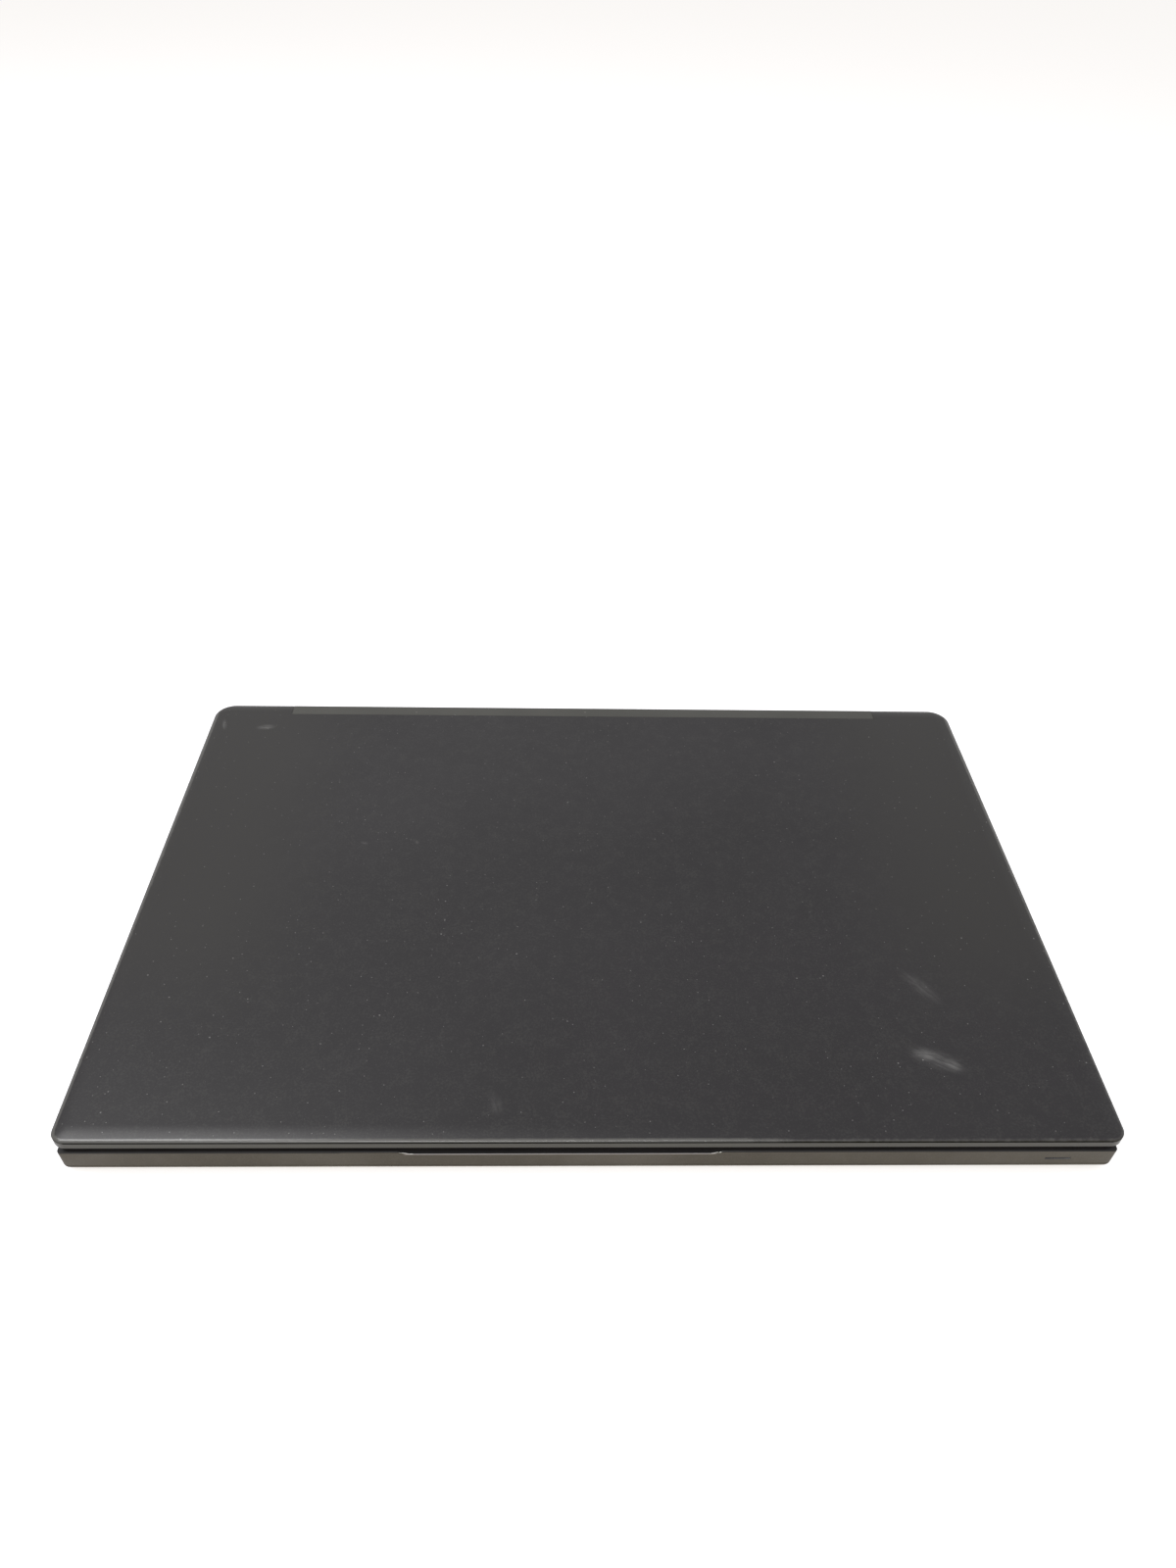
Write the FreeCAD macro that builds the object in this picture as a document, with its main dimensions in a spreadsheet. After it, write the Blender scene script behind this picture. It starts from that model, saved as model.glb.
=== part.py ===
import FreeCAD
import Part
import math
import os
import Sketcher
from types import SimpleNamespace
from FreeCAD import Placement, Rotation, Vector

# A thin 14-inch business laptop, shut. X runs to the user's right, Y back to the
# hinge and Z up. The origin lies on the desk under the middle of the lid.

# Driving sizes in millimetres
SIZES = {
    # lid shell
    "lid_width": 331.0,
    "lid_depth": 221.0,
    "lid_corner": 4.6,
    "lid_rear_corner": 8.0,
    "lid_edge": 3.7,
    "lid_skin": 1.3,
    "lid_wall": 1.6,
    "lid_round": 0.6,
    # bezel and screen
    "bezel_thickness": 3.6,
    "bezel_inset": 1.2,
    "bezel_lip": 0.8,
    "bezel_rear_gap": 0.3,
    "side_bezel": 9.1,
    "chin": 16.8,
    "screen_corner": 1.0,
    "top_bezel": 15.5,
    "panel_border": 4.5,
    "panel_thickness": 3.2,
    "panel_fit": 0.3,
    "bumper_radius": 2.2,
    "bumper_gap": 0.05,
    "bumper_setback": 4.6,
    "bumper_corner_setback": 14.0,
    "bumper_setback_front": 118.0,
    "bumper_setback_rear": 43.0,
    "camera_setback": 6.0,
    "camera_radius": 2.4,
    "camera_fit": 0.2,
    "camera_board_width": 60.0,
    "camera_board_depth": 6.0,
    "camera_board_thickness": 1.0,
    "lens_thickness": 0.4,
    "aerial_start": 55.0,
    "aerial_length": 60.0,
    "aerial_width": 7.0,
    "aerial_thickness": 0.5,
    # hinge
    "hinge_setback": 6.2,
    "hinge_radius": 6.0,
    "hinge_strip_depth": 7.2,
    "hinge_seam": 0.2,
    "hinge_end": 34.5,
    "hinge_cover_wall": 1.0,
    "hinge_cover_drop": 0.08,
    "hinge_cover_fall": 0.25,
    "hinge_cover_round": 0.8,
    "hinge_cover_lip": 1.0,
    "notch_gap": 0.5,
    "axis_above_deck": 0.1,
    "rear_gap": 0.5,
    "knuckle_radius": 3.2,
    "knuckle_length": 15.0,
    "knuckle_gap": 0.6,
    "pin_radius": 1.5,
    "pin_fit": 0.05,
    "swing_gap": 0.4,
    "leaf_boss": 2.8,
    "leaf_width": 10.0,
    "leaf_thickness": 1.2,
    "leaf_foot_length": 35.0,
    "bracket_thickness": 1.6,
    "bracket_neck": 1.45,
    "bracket_side": 5.3,
    "neck_drop": 2.0,
    "ear_reach": 0.4,
    "ear_corner": 2.0,
    # base shells
    "base_inset": 1.0,
    "base_side_inset": 0.3,
    "base_corner": 3.2,
    "base_height": 9.7,
    "base_wall": 1.6,
    "front_wall": 3.2,
    "deck_thickness": 1.3,
    "deck_round": 0.5,
    "deck_gap": 0.7,
    "bottom_rim": 2.5,
    "bottom_floor": 1.2,
    "bottom_round": 2.2,
    "scoop_width": 94.0,
    "scoop_slope": 3.7,
    "scoop_depth": 2.4,
    "scoop_height": 1.1,
    "light_width": 8.2,
    "light_height": 1.1,
    "light_setback": 18.2,
    "light_rise": 2.9,
    "foot_height": 1.2,
    "foot_width": 9.0,
    "foot_round": 4.1,
    "foot_side": 49.5,
    "rear_foot_setback": 9.0,
    "front_foot_length": 60.0,
    "front_foot_setback": 10.0,
    # keyboard
    "keyboard_side": 22.6,
    "row_depth": 18.4,
    "function_row_depth": 11.5,
    "key_gap": 2.8,
    "key_clearance": 0.4,
    "key_tuck": 1.0,
    "key_draft": 0.6,
    "key_corner": 1.2,
    "key_crown": 0.9,
    "key_skirt": 0.9,
    "key_travel": 1.2,
    "keyboard_setback": 17.0,
    "keyboard_margin": 1.0,
    "keyboard_corner": 2.5,
    "lattice_thickness": 1.2,
    "lattice_depth": 2.4,
    "lattice_rim": 3.0,
    "lattice_overlap": 5.0,
    "backplate_thickness": 0.4,
    "membrane_thickness": 0.1,
    "dome_radius": 2.6,
    "dome_gap": 0.1,
    # touchpad and power button
    "pad_width": 99.5,
    "palm_margin": 11.5,
    "pad_offset": -10.4,
    "pad_setback": 12.0,
    "pad_seam": 0.4,
    "pad_corner": 2.0,
    "pad_drop": 0.2,
    "pad_thickness": 2.0,
    "pad_button_depth": 12.5,
    "pad_button_thickness": 1.3,
    "pad_bracket_margin": 6.0,
    "pad_bracket_thickness": 0.5,
    "power_side": 53.6,
    "power_width": 15.0,
    "power_depth": 4.6,
    "power_corner": 1.9,
    "power_seam": 0.3,
    "power_flange": 0.9,
    "power_flange_thickness": 0.6,
    # boards and what they carry
    "part_gap": 0.3,
    "service_gap": 2.0,
    "board_lift": 0.5,
    "board_thickness": 0.8,
    "board_arm_setback": 159.8,
    "board_pad_radius": 2.5,
    "board_pad_inset": 8.0,
    "processor_width": 30.0,
    "processor_depth": 20.0,
    "processor_height": 1.3,
    "processor_setback": 44.6,
    "memory_side": 152.6,
    "memory_setback": 26.8,
    "memory_width": 68.0,
    "memory_depth": 30.0,
    "memory_height": 2.4,
    "drive_setback": 64.8,
    "drive_width": 80.0,
    "drive_depth": 22.0,
    "drive_height": 2.2,
    "wireless_side": 57.6,
    "wireless_width": 30.0,
    "wireless_height": 1.8,
    "battery_side": 44.9,
    "battery_height": 5.2,
    "battery_corner": 2.0,
    "speaker_depth": 20.0,
    "speaker_height": 4.6,
    "speaker_corner": 3.0,
    # cooling
    "pipe_setback": 12.0,
    "pipe_width": 8.0,
    "pipe_height": 1.5,
    "pipe_bend": 12.0,
    "fin_width": 10.0,
    "fin_count": 18,
    "fin_plate": 0.5,
    "fin_slot": 1.4,
    "fan_size": 52.0,
    "fan_height": 4.2,
    "fan_plate": 0.5,
    "fan_wall": 2.5,
    "fan_corner": 8.0,
    "fan_inlet": 13.0,
    "fan_shaft": 1.0,
    "fan_shaft_fit": 0.05,
    "rotor_gap": 0.4,
    "rotor_hub": 8.0,
    "rotor_clearance": 2.0,
    "blade_count": 19,
    "blade_thickness": 0.6,
    "vent_spacing": 4.4,
    "vent_count": 9,
    "vent_width": 1.8,
    "side_vent_width": 2.4,
    "grille_spacing": 3.0,
    "grille_count": 6,
    "grille_width": 1.2,
    "grille_length": 8.0,
    # sockets in the side walls
    "socket_wall": 0.3,
    "socket_mouth": 0.2,
    "usb_a_width": 13.1,
    "usb_a_height": 5.7,
    "usb_a_depth": 13.0,
    "usb_c_width": 9.2,
    "usb_c_height": 3.4,
    "usb_c_depth": 8.0,
    "video_width": 15.2,
    "video_height": 5.5,
    "video_depth": 11.0,
    "tongue_setback": 1.0,
    "inlet_width": 10.0,
    "inlet_height": 5.6,
    "inlet_depth": 12.0,
    "inlet_radius": 2.3,
    "inlet_pin": 0.4,
    "jack_width": 7.0,
    "jack_height": 5.4,
    "jack_depth": 14.0,
    "jack_radius": 1.8,
    "jack_bore": 12.5,
    "lock_width": 7.0,
    "lock_height": 3.0,
    "lock_plate_width": 14.0,
    "lock_plate_height": 5.0,
    "lock_plate_thickness": 1.2,
    "inlet_setback": 89.8,
    "usb_c_setback": 105.8,
    "video_setback": 123.8,
    "left_usb_setback": 145.8,
    "right_usb_setback": 49.8,
    "jack_setback": 75.8,
    "lock_setback": 25.8,
    # screws
    "boss_radius": 2.4,
    "boss_mid_side": 62.9,
    "boss_rear_side": 92.9,
    "boss_setback": 2.6,
    "boss_front_setback": 4.0,
    "cover_screw_head": 1.9,
    "cover_screw_head_height": 0.6,
    "cover_screw_shank": 0.85,
    "cover_screw_grip": 5.5,
    "small_screw_head": 1.5,
    "small_screw_head_height": 0.5,
    "small_screw_shank": 0.7,
    "small_screw_bite": 0.7,
    "leaf_screw_spacing": 10.0,
    "screw_fit": 0.15,
}

# Key rows are this many letter keys wide; the function row divides it evenly
ROW_UNITS = 15
FUNCTION_KEYS = 16
# Top radius of a rubber dome against its foot
DOME_TAPER = 0.6

doc = FreeCAD.newDocument("laptop")
sheet = doc.addObject("Spreadsheet::Sheet", "Sizes")
for row, (alias, number) in enumerate(SIZES.items(), 1):
    sheet.set(f"A{row}", alias)
    sheet.set(f"B{row}", str(number))
    sheet.setAlias(f"B{row}", alias)
doc.recompute()


class Size:
    """A length worked out from the sheet: its formula and its present value."""

    def __init__(self, text, value):
        self.text = text
        self.value = value

    def __add__(self, other):
        other = as_size(other)
        return Size(f"({self.text} + {other.text})", self.value + other.value)

    def __sub__(self, other):
        other = as_size(other)
        return Size(f"({self.text} - {other.text})", self.value - other.value)

    def __mul__(self, factor):
        return Size(f"({self.text} * {factor})", self.value * factor)

    def __truediv__(self, divisor):
        return Size(f"({self.text} / {divisor})", self.value / divisor)

    def __neg__(self):
        return Size(f"(0 - {self.text})", -self.value)

    def __float__(self):
        return float(self.value)


def as_size(number):
    return number if isinstance(number, Size) else Size(str(float(number)), float(number))


d = SimpleNamespace(**{alias: Size(f"Sizes.{alias}", sheet.get(alias)) for alias in SIZES})
count = SimpleNamespace(
    fins=int(sheet.get("fin_count")),
    blades=int(sheet.get("blade_count")),
    vents=int(sheet.get("vent_count")),
    grilles=int(sheet.get("grille_count")),
)
zero = as_size(0)
nodes = {}


def bind(obj, **formulas):
    for name, size in formulas.items():
        obj.setExpression(name, as_size(size).text)
    return obj


def place(obj, x, y, z):
    for axis, size in zip("xyz", (x, y, z)):
        obj.setExpression(f"Placement.Base.{axis}", as_size(size).text)
    return obj


def block(name, x, y, z):
    """A box from (low, high) pairs along each axis."""
    box = doc.addObject("Part::Box", name)
    bind(box, Length=x[1] - x[0], Width=y[1] - y[0], Height=z[1] - z[0])
    return place(box, x[0], y[0], z[0])


TURNED = {
    "x": Rotation(Vector(0, 1, 0), 90),
    "z": Rotation(),
}


def rod(name, axis, start, length, radius):
    """A cylinder along an axis from its start point."""
    cylinder = doc.addObject("Part::Cylinder", name)
    cylinder.Placement = Placement(Vector(), TURNED[axis])
    bind(cylinder, Radius=radius, Height=length)
    return place(cylinder, *start)


def fuse(name, *shapes):
    joined = doc.addObject("Part::MultiFuse", name)
    joined.Shapes = list(shapes)
    joined.Refine = True
    return joined


def cut(name, base, *tools):
    result = doc.addObject("Part::Cut", name)
    result.Base = base
    result.Tool = tools[0] if len(tools) == 1 else fuse(f"{name}_tools", *tools)
    result.Refine = True
    return result


def group(name, *solids):
    """Separate solids that share one node."""
    together = doc.addObject("Part::Compound", name)
    together.Links = list(solids)
    return together


def node(label, obj):
    obj.Label = label
    nodes[label] = obj
    return obj


def mirrored(side, low, high):
    """An x range on the right (+1) or its mirror image on the left (-1)."""
    return (as_size(low), as_size(high)) if side > 0 else (-as_size(high), -as_size(low))


def side_name(side):
    return "right" if side > 0 else "left"


def rounded_sketch(body, name, x, y, level, radius, rear_radius=None):
    """A rectangle with rounded corners, parallel to the desk at a given level."""
    rear_radius = rear_radius or radius
    sketch = body.newObject("Sketcher::SketchObject", name)
    plane = next(f for f in body.Origin.OriginFeatures if f.Role == "XY_Plane")
    sketch.AttachmentSupport = (plane, [""])
    sketch.MapMode = "FlatFace"
    sketch.setExpression("AttachmentOffset.Base.z", level.text)
    x0, x1, y0, y1, near, far = (float(size) for size in (*x, *y, radius, rear_radius))
    sides = [
        ((x0 + near, y0), (x1 - near, y0)),
        ((x1, y0 + near), (x1, y1 - far)),
        ((x1 - far, y1), (x0 + far, y1)),
        ((x0, y1 - far), (x0, y0 + near)),
    ]
    for start, end in sides:
        sketch.addGeometry(Part.LineSegment(Vector(*start, 0), Vector(*end, 0)), False)
    corners = [
        (x1 - near, y0 + near, near, 3),
        (x1 - far, y1 - far, far, 0),
        (x0 + far, y1 - far, far, 1),
        (x0 + near, y0 + near, near, 2),
    ]
    for cx, cy, size, quarter in corners:
        circle = Part.Circle(Vector(cx, cy, 0), Vector(0, 0, 1), size)
        start = quarter * math.pi / 2
        sketch.addGeometry(Part.ArcOfCircle(circle, start, start + math.pi / 2), False)
    rules = []
    for index in range(4):
        rules.append(Sketcher.Constraint("Tangent", index, 2, index + 4, 1))
        rules.append(Sketcher.Constraint("Tangent", index + 4, 2, (index + 1) % 4, 1))
    rules += [Sketcher.Constraint("Horizontal", 0), Sketcher.Constraint("Horizontal", 2)]
    rules += [Sketcher.Constraint("Vertical", 1), Sketcher.Constraint("Vertical", 3)]
    rules += [Sketcher.Constraint("Equal", 4, 7), Sketcher.Constraint("Equal", 5, 6)]
    sketch.addConstraint(rules)
    measures = [
        (Sketcher.Constraint("Radius", 4, near), radius),
        (Sketcher.Constraint("Radius", 5, far), rear_radius),
        (Sketcher.Constraint("DistanceX", -1, 1, 3, 1, x0), x[0]),
        (Sketcher.Constraint("DistanceX", -1, 1, 1, 1, x1), x[1]),
        (Sketcher.Constraint("DistanceY", -1, 1, 0, 1, y0), y[0]),
        (Sketcher.Constraint("DistanceY", -1, 1, 2, 1, y1), y[1]),
    ]
    for constraint, size in measures:
        index = sketch.addConstraint(constraint)
        sketch.setExpression(f"Constraints[{index}]", size.text)
    return sketch


def slab(name, x, y, z, radius, rear_radius=None):
    """A plate with rounded corners; those at the rear can differ."""
    body = doc.addObject("PartDesign::Body", name)
    pad = body.newObject("PartDesign::Pad", f"{name}_pad")
    pad.Profile = rounded_sketch(body, f"{name}_outline", x, y, z[0], radius, rear_radius)
    bind(pad, Length=z[1] - z[0])
    return body


def pocket(body, name, x, y, level, depth, radius, upward=False):
    """A pocket with rounded corners, cut down (or up) from a level."""
    sketch = rounded_sketch(body, f"{name}_outline", x, y, level, radius)
    doc.recompute()
    before = body.Shape.Volume
    hollow = body.newObject("PartDesign::Pocket", name)
    hollow.Profile = sketch
    hollow.Reversed = upward
    bind(hollow, Length=depth)
    doc.recompute()
    if body.Shape.Volume >= before:
        raise RuntimeError(f"{name} cuts nothing")
    return hollow


def soften(body, name, level, radius):
    """Round every edge of a body that lies at one level."""
    doc.recompute()
    base = body.Tip
    edges = []
    for index, edge in enumerate(base.Shape.Edges, 1):
        if all(abs(corner.Z - float(level)) < 1e-6 for corner in edge.Vertexes):
            edges.append(f"Edge{index}")
    rounding = body.newObject("PartDesign::Fillet", name)
    rounding.Base = (base, edges)
    bind(rounding, Radius=radius)
    return rounding


# Levels, from the desk up
z = SimpleNamespace()
z.cover = d.foot_height
z.floor = z.cover + d.bottom_floor
z.seam = z.cover + d.bottom_rim
z.board = z.floor + d.board_lift
z.board_top = z.board + d.board_thickness
z.deck = z.cover + d.base_height
z.deck_under = z.deck - d.deck_thickness
z.lattice = z.deck_under - d.lattice_depth
z.backplate = z.lattice - d.backplate_thickness
z.membrane = z.lattice + d.membrane_thickness
z.key_foot = z.deck_under - d.key_tuck
z.key_hollow = z.deck - d.key_crown
z.pad_top = z.deck - d.pad_drop
z.pad_under = z.pad_top - d.pad_thickness
z.bezel = z.deck + d.deck_gap
z.shell = z.bezel + d.bezel_thickness
z.lid_top = z.shell + d.lid_edge
z.ceiling = z.lid_top - d.lid_skin
z.axis = z.deck + d.axis_above_deck

# Half widths of the lid, bezel and base
half = SimpleNamespace()
half.lid = d.lid_width / 2
half.bezel = half.lid - d.bezel_inset
half.screen = half.bezel - d.side_bezel
half.panel = half.screen + d.panel_border
half.base = half.lid - d.base_side_inset
half.inner = half.base - d.base_wall
half.cover = half.lid - d.hinge_end
half.notch = half.cover + d.notch_gap
half.board = half.inner - d.part_gap
half.battery = half.inner - d.battery_side
half.keys = half.inner - d.keyboard_side
half.lattice = half.keys + d.keyboard_margin + d.lattice_overlap

# Lines across the machine, from front to back
y = SimpleNamespace()
y.lid_rear = d.lid_depth / 2
y.lid_front = -y.lid_rear
y.axis = y.lid_rear - d.hinge_setback
y.notch = y.lid_rear - d.hinge_strip_depth
y.bezel_front = y.lid_front + d.bezel_inset
y.bezel_rear = y.axis - d.hinge_radius - d.bezel_rear_gap
y.lid_hollow_rear = y.bezel_rear - d.lid_wall
y.screen_front = y.bezel_front + d.top_bezel
y.screen_rear = y.bezel_rear - d.chin
y.panel_front = y.screen_front - d.panel_border
y.panel_rear = y.screen_rear + d.panel_border
y.camera = y.bezel_front + d.camera_setback
y.base_front = y.lid_front + d.base_inset
y.base_rear = y.axis - d.hinge_radius - d.rear_gap
y.inner_front = y.base_front + d.front_wall
y.inner_rear = y.base_rear - d.base_wall
y.keys_rear = y.base_rear - d.keyboard_setback
y.keys_front = y.keys_rear - d.function_row_depth - d.row_depth * 5
y.lattice_rear = y.keys_rear + d.keyboard_margin + d.lattice_overlap
y.lattice_front = y.keys_front - d.keyboard_margin - d.lattice_overlap
y.pad_window_rear = y.keys_front - d.pad_setback
y.pad_rear = y.pad_window_rear - d.pad_seam
y.button_front = y.base_front + d.palm_margin
y.button_rear = y.button_front + d.pad_button_depth
y.pad_front = y.button_rear + d.pad_seam
y.pad_window_front = y.button_front - d.pad_seam
y.power = (y.lattice_rear + y.inner_rear) / 2
y.boss_front = y.inner_front + d.boss_radius + d.boss_front_setback
y.boss_mid = y.lattice_front - d.boss_radius - d.part_gap
y.boss_rear = y.inner_rear - d.boss_radius - d.boss_setback
y.battery_rear = y.boss_mid - d.boss_radius - d.part_gap
y.battery_front = y.inner_front + d.service_gap
y.board_rear = y.boss_rear - d.boss_radius - d.service_gap
y.board_front = y.lattice_front + d.service_gap
y.pipe = y.board_rear - d.pipe_setback
y.fan_rear = y.pipe - d.pipe_width / 2 - d.service_gap
y.fan_front = y.fan_rear - d.fan_size
y.fan = y.fan_rear - d.fan_size / 2
y.arm_rear = y.fan_front - d.service_gap
y.arm_front = y.base_rear - d.board_arm_setback
y.memory = y.board_rear - d.memory_setback
y.drive = y.board_rear - d.drive_setback
y.inlet = y.base_rear - d.inlet_setback
y.usb_c = y.base_rear - d.usb_c_setback
y.video = y.base_rear - d.video_setback
y.left_usb = y.base_rear - d.left_usb_setback
y.right_usb = y.base_rear - d.right_usb_setback
y.jack = y.base_rear - d.jack_setback
y.lock = y.base_rear - d.lock_setback

# Columns of the base, given as x
x = SimpleNamespace()
x.boss_front = half.inner - d.boss_radius - d.boss_front_setback
x.fins_left = -half.inner + d.service_gap
x.fins_right = x.fins_left + d.fin_width
x.fan_left = x.fins_right + d.part_gap
x.fan = x.fan_left + d.fan_size / 2
x.fan_right = x.fan_left + d.fan_size
x.board_left = x.fan_right + d.service_gap
x.processor = x.board_left + d.processor_setback
x.memory = half.board - d.memory_side
x.wireless = half.board - d.wireless_side
x.arm_inner = -half.battery - d.service_gap
x.power = half.inner - d.power_side
x.pad_left = d.pad_offset - d.pad_width / 2
x.pad_right = d.pad_offset + d.pad_width / 2
x.boss_start = half.cover - d.hinge_cover_wall - d.notch_gap - d.leaf_width
x.knuckle = half.cover + d.knuckle_gap
x.knuckle_end = x.knuckle + d.knuckle_length
x.pin_end = x.knuckle_end + d.notch_gap
x.bracket_end = half.inner - d.bracket_side

leaf_front = y.panel_rear + d.service_gap
leaf_foot_rear = y.lid_hollow_rear - d.part_gap
bracket_front = y.lattice_rear + d.part_gap * 2
bracket_rear = y.inner_rear - d.part_gap


def screw_row(start, pitch, number):
    return [start + pitch * index for index in range(number)]


leaf_screw_x = screw_row(x.boss_start + d.leaf_width / 2, d.leaf_screw_spacing, 3)
bracket_room = x.bracket_end - x.knuckle_end
bracket_screw_x = screw_row(x.knuckle_end + bracket_room / 4, bracket_room / 2, 2)
leaf_screw_y = (leaf_front + leaf_foot_rear) / 2
bracket_screw_y = (bracket_front + bracket_rear) / 2
cover_screws = [
    (side, across, along)
    for across, along in (
        (x.boss_front, y.boss_front),
        (half.inner - d.boss_mid_side, y.boss_mid),
        (half.inner - d.boss_rear_side, y.boss_rear),
    )
    for side in (-1, 1)
]


def lid_back_cover():
    outline = (-half.lid, half.lid)
    body = slab("lid_shell", outline, (y.lid_front, y.lid_rear), (z.shell, z.lid_top), d.lid_corner,
                d.lid_rear_corner)
    soften(body, "lid_edge_round", z.lid_top, d.lid_round)
    inner = half.lid - d.lid_wall
    pocket(body, "lid_hollow", (-inner, inner), (y.lid_front + d.lid_wall, y.lid_hollow_rear),
           z.shell, d.lid_edge - d.lid_skin, d.lid_corner - d.lid_wall, upward=True)
    overshoot = d.lid_edge
    tools = [
        block("strip_notch", (-half.notch, half.notch), (y.notch, y.lid_rear + overshoot),
              (z.shell - overshoot, z.lid_top + overshoot)),
        block("strip_hollow", (-half.notch, half.notch), (y.lid_hollow_rear - overshoot, y.lid_rear),
              (z.shell - overshoot, z.ceiling)),
    ]
    for side in (-1, 1):
        for index, across in enumerate(leaf_screw_x):
            tools.append(rod(f"{side_name(side)}_leaf_hole_{index}", "z",
                             (across * side, leaf_screw_y, z.ceiling - d.small_screw_bite),
                             d.small_screw_bite * 2 + d.screw_fit, d.small_screw_shank + d.screw_fit))
    node("lid_back_cover", cut("lid_back_cover", body, *tools))


def display():
    body = slab("bezel_frame", (-half.bezel, half.bezel), (y.bezel_front, y.bezel_rear), (z.bezel, z.shell),
                d.lid_corner - d.bezel_inset)
    pocket(body, "screen_window", (-half.screen, half.screen), (y.screen_front, y.screen_rear),
           z.shell, d.bezel_thickness * 2, d.screen_corner)
    seat = half.panel + d.panel_fit
    pocket(body, "panel_seat", (-seat, seat), (y.panel_front - d.panel_fit, y.panel_rear + d.panel_fit),
           z.shell, d.bezel_thickness - d.bezel_lip, d.screen_corner)
    hole = rod("camera_hole", "z", (zero, y.camera, z.bezel - d.bezel_thickness),
               d.bezel_thickness * 3, d.camera_radius + d.camera_fit)
    node("display_bezel", cut("display_bezel", body, hole))

    face = z.bezel + d.bezel_lip
    node("display_panel", slab("display_panel", (-half.panel, half.panel), (y.panel_front, y.panel_rear),
                               (face, face + d.panel_thickness), d.screen_corner))

    lens_top = z.bezel + d.lens_thickness
    node("camera_lens", rod("camera_lens", "z", (zero, y.camera, z.bezel), d.lens_thickness, d.camera_radius))
    wide = d.camera_board_width / 2
    deep = d.camera_board_depth / 2
    board = block("camera_strip", (-wide, wide), (y.camera - deep, y.camera + deep),
                  (z.shell, z.shell + d.camera_board_thickness))
    barrel = rod("camera_barrel", "z", (zero, y.camera, lens_top), z.shell - lens_top, d.camera_radius)
    node("camera_board", fuse("camera_board", board, barrel))

    spots = [
        (half.bezel - d.bumper_corner_setback, y.camera),
        (half.bezel - d.bumper_setback, y.bezel_rear - d.bumper_setback_front),
        (half.bezel - d.bumper_setback, y.bezel_rear - d.bumper_setback_rear),
    ]
    pads = []
    aerials = []
    for side in (-1, 1):
        for index, (across, along) in enumerate(spots):
            pads.append(rod(f"{side_name(side)}_bumper_{index}", "z",
                            (across * side, along, z.deck + d.bumper_gap),
                            d.deck_gap - d.bumper_gap, d.bumper_radius))
        rear = y.panel_front - d.part_gap
        aerials.append(block(f"{side_name(side)}_aerial",
                             mirrored(side, d.aerial_start, d.aerial_start + d.aerial_length),
                             (rear - d.aerial_width, rear), (z.ceiling - d.aerial_thickness, z.ceiling)))
    node("lid_bumpers", group("lid_bumpers", *pads))
    node("aerial_strips", group("aerial_strips", *aerials))


def hinge_cover():
    """A trough round the hinge axis: round below, where it swings past the base,
    and squared off above, where it carries on the line of the lid."""
    radius, wall = float(d.hinge_radius), float(d.hinge_cover_wall)
    lip, rounding = float(d.hinge_cover_lip), float(d.hinge_cover_round)
    front = float(y.notch + d.hinge_seam - y.axis)
    top = float(z.lid_top - d.hinge_cover_drop - z.axis)
    shoulder = top - float(d.hinge_cover_fall)

    def at(across, up):
        return Vector(0, across, up)

    def arc(*points):
        return Part.Arc(*(at(*point) for point in points)).toShape()

    def line(start, end):
        return Part.LineSegment(at(*start), at(*end)).toShape()

    crown_end = (radius - rounding, shoulder)
    crown_mid = ((front + crown_end[0]) / 2, (top + shoulder) / 2 + float(d.hinge_cover_fall) / 6)
    bend = rounding * (1 - math.sqrt(0.5))
    side_top = (radius, shoulder - rounding)
    inner = radius - wall
    ceiling = shoulder - wall
    outline = [
        arc((front, top), crown_mid, crown_end),
        arc(crown_end, (radius - bend, shoulder - bend), side_top),
        line(side_top, (radius, 0)),
        arc((radius, 0), (0, -radius), (-radius, 0)),
        line((-radius, 0), (-radius, lip)),
        line((-radius, lip), (-inner, lip)),
        line((-inner, lip), (-inner, 0)),
        arc((-inner, 0), (0, -inner), (inner, 0)),
        line((inner, 0), (inner, ceiling - wall)),
        line((inner, ceiling - wall), (inner - wall, ceiling)),
        line((inner - wall, ceiling), (front, ceiling)),
        line((front, ceiling), (front, top)),
    ]
    trough = doc.addObject("Part::Feature", "hinge_trough")
    section = Part.Face(Part.Wire(outline))
    trough.Shape = section.extrude(Vector(float(half.cover * 2), 0, 0))
    place(trough, -half.cover, y.axis, z.axis)
    pieces = [trough]
    for side in (-1, 1):
        span = mirrored(side, half.cover - d.hinge_cover_wall, half.cover)
        disc = rod(f"{side_name(side)}_end_disc", "x", (span[0], y.axis, z.axis), d.hinge_cover_wall,
                   d.hinge_radius - d.hinge_cover_wall / 2)
        hole = rod(f"{side_name(side)}_end_hole", "x", (span[0] - d.hinge_cover_wall, y.axis, z.axis),
                   d.hinge_cover_wall * 3, d.pin_radius + d.swing_gap)
        pieces.append(cut(f"{side_name(side)}_end_cap", disc, hole))
    node("hinge_cover", fuse("hinge_cover", *pieces))


def screw(name, head_at, head_radius, head_height, shank_radius, shank_length, upward=True):
    """A round-headed screw; the shank starts where the head seats."""
    head_start = head_at[2] - head_height if upward else head_at[2]
    shank_start = head_at[2] if upward else head_at[2] - shank_length
    head = rod(f"{name}_head", "z", (head_at[0], head_at[1], head_start), head_height, head_radius)
    shank = rod(f"{name}_shank", "z", (head_at[0], head_at[1], shank_start), shank_length, shank_radius)
    return fuse(name, head, shank)


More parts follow.
